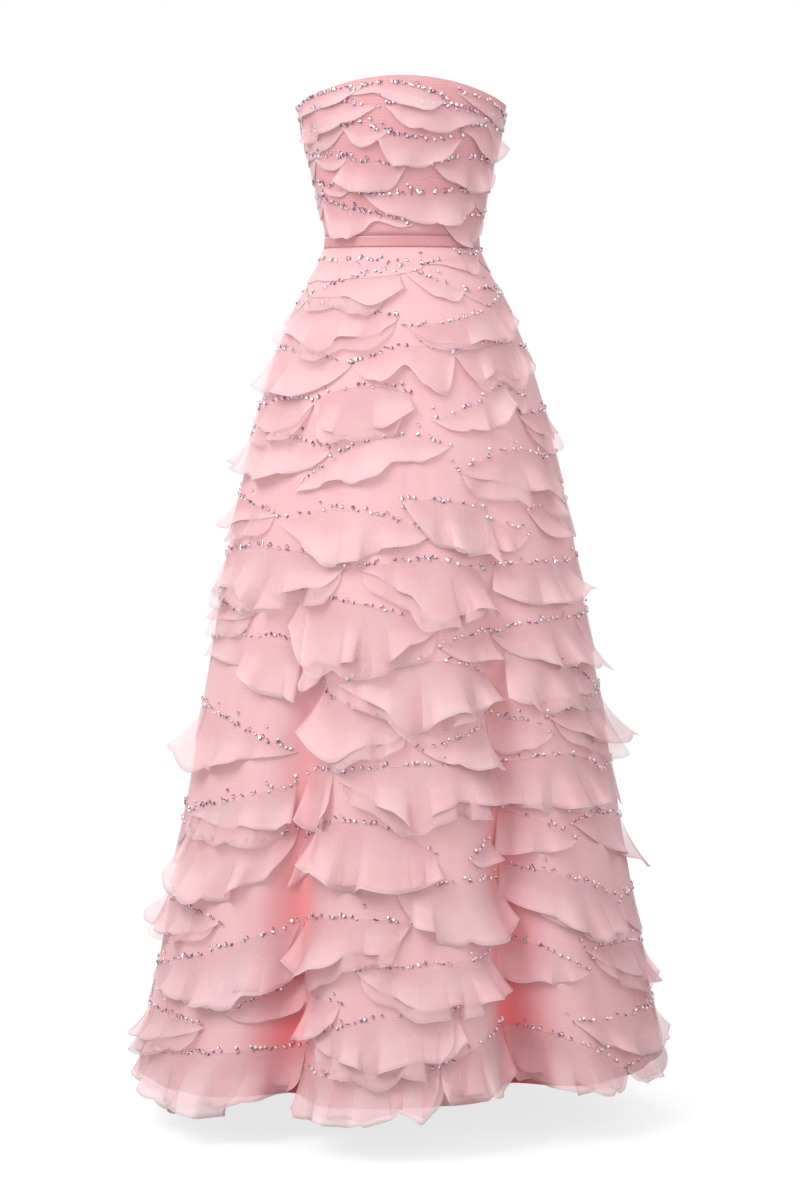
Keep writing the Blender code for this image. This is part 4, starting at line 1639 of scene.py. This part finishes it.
        def random(low: object, high: object, salt: int) -> bpy.types.NodeSocket:
            """A random number for each point.

            Args:
                low: The least that it may be.
                high: The most.
                salt: What this number's seed adds to the run's.

            Returns:
                The number's socket.
            """
            added = {0: given["Seed"], 1: salt}
            seed = board.node("FunctionNodeIntegerMath", added, operation="ADD").outputs[0]
            fed = {2: low, 3: high, "Seed": seed}
            return board.node("FunctionNodeRandomValue", fed, data_type="FLOAT").outputs[1]

        def named(title: str) -> bpy.types.NodeSocket:
            """A direction that the lines carry."""
            made = board.node("GeometryNodeInputNamedAttribute", {"Name": title}, data_type="FLOAT_VECTOR")
            return made.outputs["Attribute"]

        def scaled(vector: bpy.types.NodeSocket, size: bpy.types.NodeSocket) -> bpy.types.NodeSocket:
            """A vector times a number."""
            fed = {0: vector, "Scale": size}
            return board.node("ShaderNodeVectorMath", fed, operation="SCALE").outputs[0]

        # Places along the lines, of which a share is kept
        curve = board.node("GeometryNodeMeshToCurve", {0: given["Geometry"]}).outputs[0]
        spaced = {"Curve": curve, "Length": given["Spacing"]}
        points = board.node("GeometryNodeCurveToPoints", spaced, mode="LENGTH").outputs["Points"]
        chosen = {"Probability": given["Kept"], "Seed": given["Seed"]}
        kept = board.node("FunctionNodeRandomValue", chosen, data_type="BOOLEAN").outputs[3]
        dropped = board.node("FunctionNodeBooleanMath", {0: kept}, operation="NOT").outputs[0]
        thinned = board.node(
            "GeometryNodeDeleteGeometry", {"Geometry": points, "Selection": dropped}, domain="POINT"
        )

        # Each place moves along its line and up
        back = board.math("MULTIPLY", given["Scatter"], -1.0)
        along = board.node(
            "ShaderNodeVectorMath", {0: named("upward"), 1: named("outward")}, operation="CROSS_PRODUCT"
        )
        aside = scaled(along.outputs[0], random(back, given["Scatter"], 1))
        rise = scaled(named("upward"), random(given["Rise Low"], given["Rise High"], 2))
        shift = board.node("ShaderNodeVectorMath", {0: aside, 1: rise}, operation="ADD")
        moved = board.node(
            "GeometryNodeSetPosition", {"Geometry": thinned.outputs[0], "Offset": shift.outputs[0]}
        )

        # Each bead faces outward and tilts a little
        aim = board.node("FunctionNodeAlignRotationToVector", {"Vector": named("outward")}, axis="Z")
        turn = Vector(self.tilt)
        spread = {0: -turn, 1: turn, "Seed": given["Seed"]}
        tilt = board.node("FunctionNodeRandomValue", spread, data_type="FLOAT_VECTOR").outputs[0]
        turned = board.node(
            "FunctionNodeRotateRotation", {0: aim.outputs[0], 1: tilt}, rotation_space="LOCAL"
        )

        # The beads, each with its own size and tint
        bead = board.node("GeometryNodeObjectInfo", {"Object": given["Bead"]}).outputs["Geometry"]
        laid = {
            "Points": moved.outputs[0],
            "Instance": bead,
            "Rotation": turned.outputs[0],
            "Scale": random(given["Least"], given["Most"], 3),
        }
        strewn = board.node("GeometryNodeInstanceOnPoints", laid).outputs[0]
        tinted = {"Geometry": strewn, "Name": "tint", "Value": random(0.0, 1.0, 4)}
        tint = board.node(
            "GeometryNodeStoreNamedAttribute", tinted, data_type="FLOAT", domain="INSTANCE"
        )
        real = board.node("GeometryNodeRealizeInstances", {0: tint.outputs[0]}).outputs[0]
        finished = {"Geometry": real, "Material": given["Finish"]}
        dressed = board.node("GeometryNodeSetMaterial", finished)
        board.node("NodeGroupOutput", {0: dressed.outputs[0]})
        return tree

    def strew(
        self,
        run: BeadRun,
        tree: bpy.types.GeometryNodeTree,
        lines: bpy.types.Mesh,
        bead: bpy.types.Object,
        material: bpy.types.Material,
    ) -> bpy.types.Object:
        """Strew one kind of bead and turn the result into a plain mesh.

        Args:
            run: The sizes of this run.
            tree: The strewing tree.
            lines: The sewn lines.
            bead: The bead to place.
            material: Its finish.

        Returns:
            The piece.
        """
        piece = bpy.data.objects.new(run.name, lines.copy())
        bpy.context.scene.collection.objects.link(piece)
        modifier = piece.modifiers.new("strew", "NODES")
        modifier.node_group = tree
        values = {
            "Spacing": run.spacing, "Kept": run.kept, "Rise Low": run.rise_low,
            "Rise High": run.rise_high, "Scatter": run.scatter, "Least": run.least,
            "Most": run.most, "Seed": run.seed, "Bead": bead, "Finish": material,
        }
        for item in tree.interface.items_tree:
            if item.in_out == "INPUT" and item.name in values:
                modifier[item.identifier] = values[item.name]
        graph = bpy.context.evaluated_depsgraph_get()
        graph.update()
        made = bpy.data.meshes.new_from_object(piece.evaluated_get(graph))
        piece.modifiers.remove(modifier)
        piece.data = made
        made.name = run.name
        return piece

    def build(self, stones: bpy.types.Material, bugles: bpy.types.Material) -> None:
        """Strew every run of beads.

        Args:
            stones: Finish of the stones.
            bugles: Finish of the bugle beads.
        """
        tree = self.tree()
        on_bodice = self.path_mesh(self.bodice_lines)
        everywhere = self.path_mesh(self.bodice_lines + self.skirt_lines)
        stone = self.stone()
        bugle = self.bugle()
        jobs = [(run, stone, stones, Slot.CRYSTAL) for run in self.stone_runs]
        jobs.append((self.bugle_run, bugle, bugles, Slot.SILVER))
        for run, bead, material, slot in jobs:
            lines = on_bodice if run.bodice_only else everywhere
            piece = self.strew(run, tree, lines, bead, material)
            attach(piece, "root")
            LOG.info("%s: %d faces", piece.name, len(piece.data.polygons))


# Studio


@dataclass(frozen=True)
class Lamp:
    """A square soft lamp: its place and side in metres and its power in watts."""

    name: str
    place: tuple[float, float, float]
    size: float
    power: float


@dataclass
class Studio:
    """Camera, lights, pale floor and white surround.

    A pixel is as wide as one of the photograph's pixels on the gown, in metres. The floor fades out
    between two shares of its radius.
    """

    pixel: float = 1.4 * MM
    image_height: float = 1200.0
    distance: float = 4.5
    eye_height: float = -0.15
    middle_x: float = -0.0028
    middle_z: float = -0.497
    sensor: float = 36.0
    floor_height: float = -1.215
    floor_radius: float = 6.0
    floor_colour: tuple[float, float, float] = (0.34, 0.335, 0.335)
    floor_glow: float = 0.76
    floor_fade: tuple[float, float] = (0.12, 0.55)
    surround: float = 0.64
    lamp_aim: tuple[float, float, float] = (0.0, 0.0, -0.45)
    lamps: tuple[Lamp, ...] = (
        Lamp("key", (-2.1, -2.2, 2.0), 2.2, 98.0),
        Lamp("fill", (2.6, -3.0, 0.6), 2.6, 33.0),
        Lamp("back", (-1.2, 3.0, 1.8), 2.4, 60.0),
    )

    def camera(self) -> None:
        """Place the camera at the photograph's angle."""
        eye = Vector((self.middle_x, -self.distance, self.eye_height))
        aim = Vector((self.middle_x, 0.0, self.middle_z))
        data = bpy.data.cameras.new("camera")
        data.sensor_fit = "VERTICAL"
        data.sensor_height = self.sensor
        data.lens = self.sensor * (aim - eye).length / (self.image_height * self.pixel)
        data.clip_end = 60.0
        camera = bpy.data.objects.new("camera", data)
        camera.location = eye
        camera.rotation_euler = (aim - eye).to_track_quat("-Z", "Y").to_euler()
        bpy.context.scene.collection.objects.link(camera)
        bpy.context.scene.camera = camera

    def light(self, lamp: Lamp) -> None:
        """Set up a lamp, aimed at the gown's middle.

        Args:
            lamp: The lamp.
        """
        data = bpy.data.lights.new(lamp.name, "AREA")
        data.shape = "SQUARE"
        data.size = lamp.size
        data.energy = lamp.power
        thing = bpy.data.objects.new(lamp.name, data)
        thing.location = lamp.place
        toward = Vector(self.lamp_aim) - Vector(lamp.place)
        thing.rotation_euler = toward.to_track_quat("-Z", "Y").to_euler()
        bpy.context.scene.collection.objects.link(thing)

    def world(self) -> None:
        """A white surround that lights the gown a little less than it shows."""
        world = bpy.data.worlds.new("surround")
        world.use_nodes = True
        board = NodeBoard(world.node_tree)
        seen = board.node("ShaderNodeLightPath").outputs["Is Camera Ray"]
        strength = board.node("ShaderNodeMix", {0: seen, 2: self.surround, 3: 1.0}).outputs[0]
        background = world.node_tree.nodes["Background"]
        board.feed(background.inputs["Color"], opaque(grey(1.0)))
        board.feed(background.inputs["Strength"], strength)
        bpy.context.scene.world = world

    def floor(self) -> None:
        """A round pale floor that fades into the surround."""
        steps = 96
        points = [(0.0, 0.0, self.floor_height)]
        for i in range(steps):
            turn = 2 * math.pi * i / steps
            across, along = self.floor_radius * math.cos(turn), self.floor_radius * math.sin(turn)
            points.append((across, along, self.floor_height))
        faces = [(0, 1 + i, 1 + (i + 1) % steps) for i in range(steps)]
        mesh = bpy.data.meshes.new("floor")
        mesh.from_pydata(points, [], faces)
        floor = bpy.data.objects.new("floor", mesh)
        bpy.context.scene.collection.objects.link(floor)
        desk = NodeDesk("pale_floor")
        place = desk.node("ShaderNodeTexCoord").outputs["Object"]
        level = desk.stretched(place, (1.0, 1.0, 0.0))
        away = desk.node("ShaderNodeVectorMath", {0: level}, operation="LENGTH")
        share = desk.math("DIVIDE", away.outputs["Value"], self.floor_radius)
        cover = desk.ramp(share, (self.floor_fade[0], grey(1.0)), (self.floor_fade[1], grey(0.0)))
        seen = desk.node("ShaderNodeLightPath").outputs["Is Camera Ray"]
        pale = desk.dress(
            base_color=opaque(self.floor_colour),
            emission_color=opaque(grey(1.0)),
            emission_strength=desk.math("MULTIPLY", seen, self.floor_glow),
            roughness=0.9,
            specular_ior_level=0.0,
            alpha=cover,
        )
        mesh.materials.append(pale)

    def build(self) -> None:
        """Set up the whole studio."""
        self.camera()
        self.world()
        self.floor()
        for lamp in self.lamps:
            self.light(lamp)
        scene = bpy.context.scene
        scene.view_settings.view_transform = "Standard"
        scene.cycles.transparent_max_bounces = 20
        scene.cycles.max_bounces = 5
        scene.cycles.diffuse_bounces = 3


def main() -> None:
    """Build the gown's looks in order."""
    logging.basicConfig(level=logging.INFO, format="%(name)s: %(message)s")
    form = GownForm()
    Studio().build()
    organza = OrganzaFinish().make()
    satin = SatinFinish().make()
    BodyCloth(form).build(BODICE_TULLE.make(), TulleFinish().make(), satin)
    bodice = RuffleTiers(
        form, BODICE_TIERS, ("bodice_front", "bodice_back_left"), True, flute_run=64.0, scallop_run=46.0
    )
    skirt = RuffleTiers(form, SKIRT_TIERS, ("skirt_front", "skirt_back_left"), False, seed=73)
    bodice.build(organza)
    skirt.build(organza)
    beading = Beading(form, bodice.sewn_lines(), skirt.sewn_lines())
    beading.build(CRYSTAL.make(), SILVER_LINED.make())


if __name__ == "__main__":
    main()
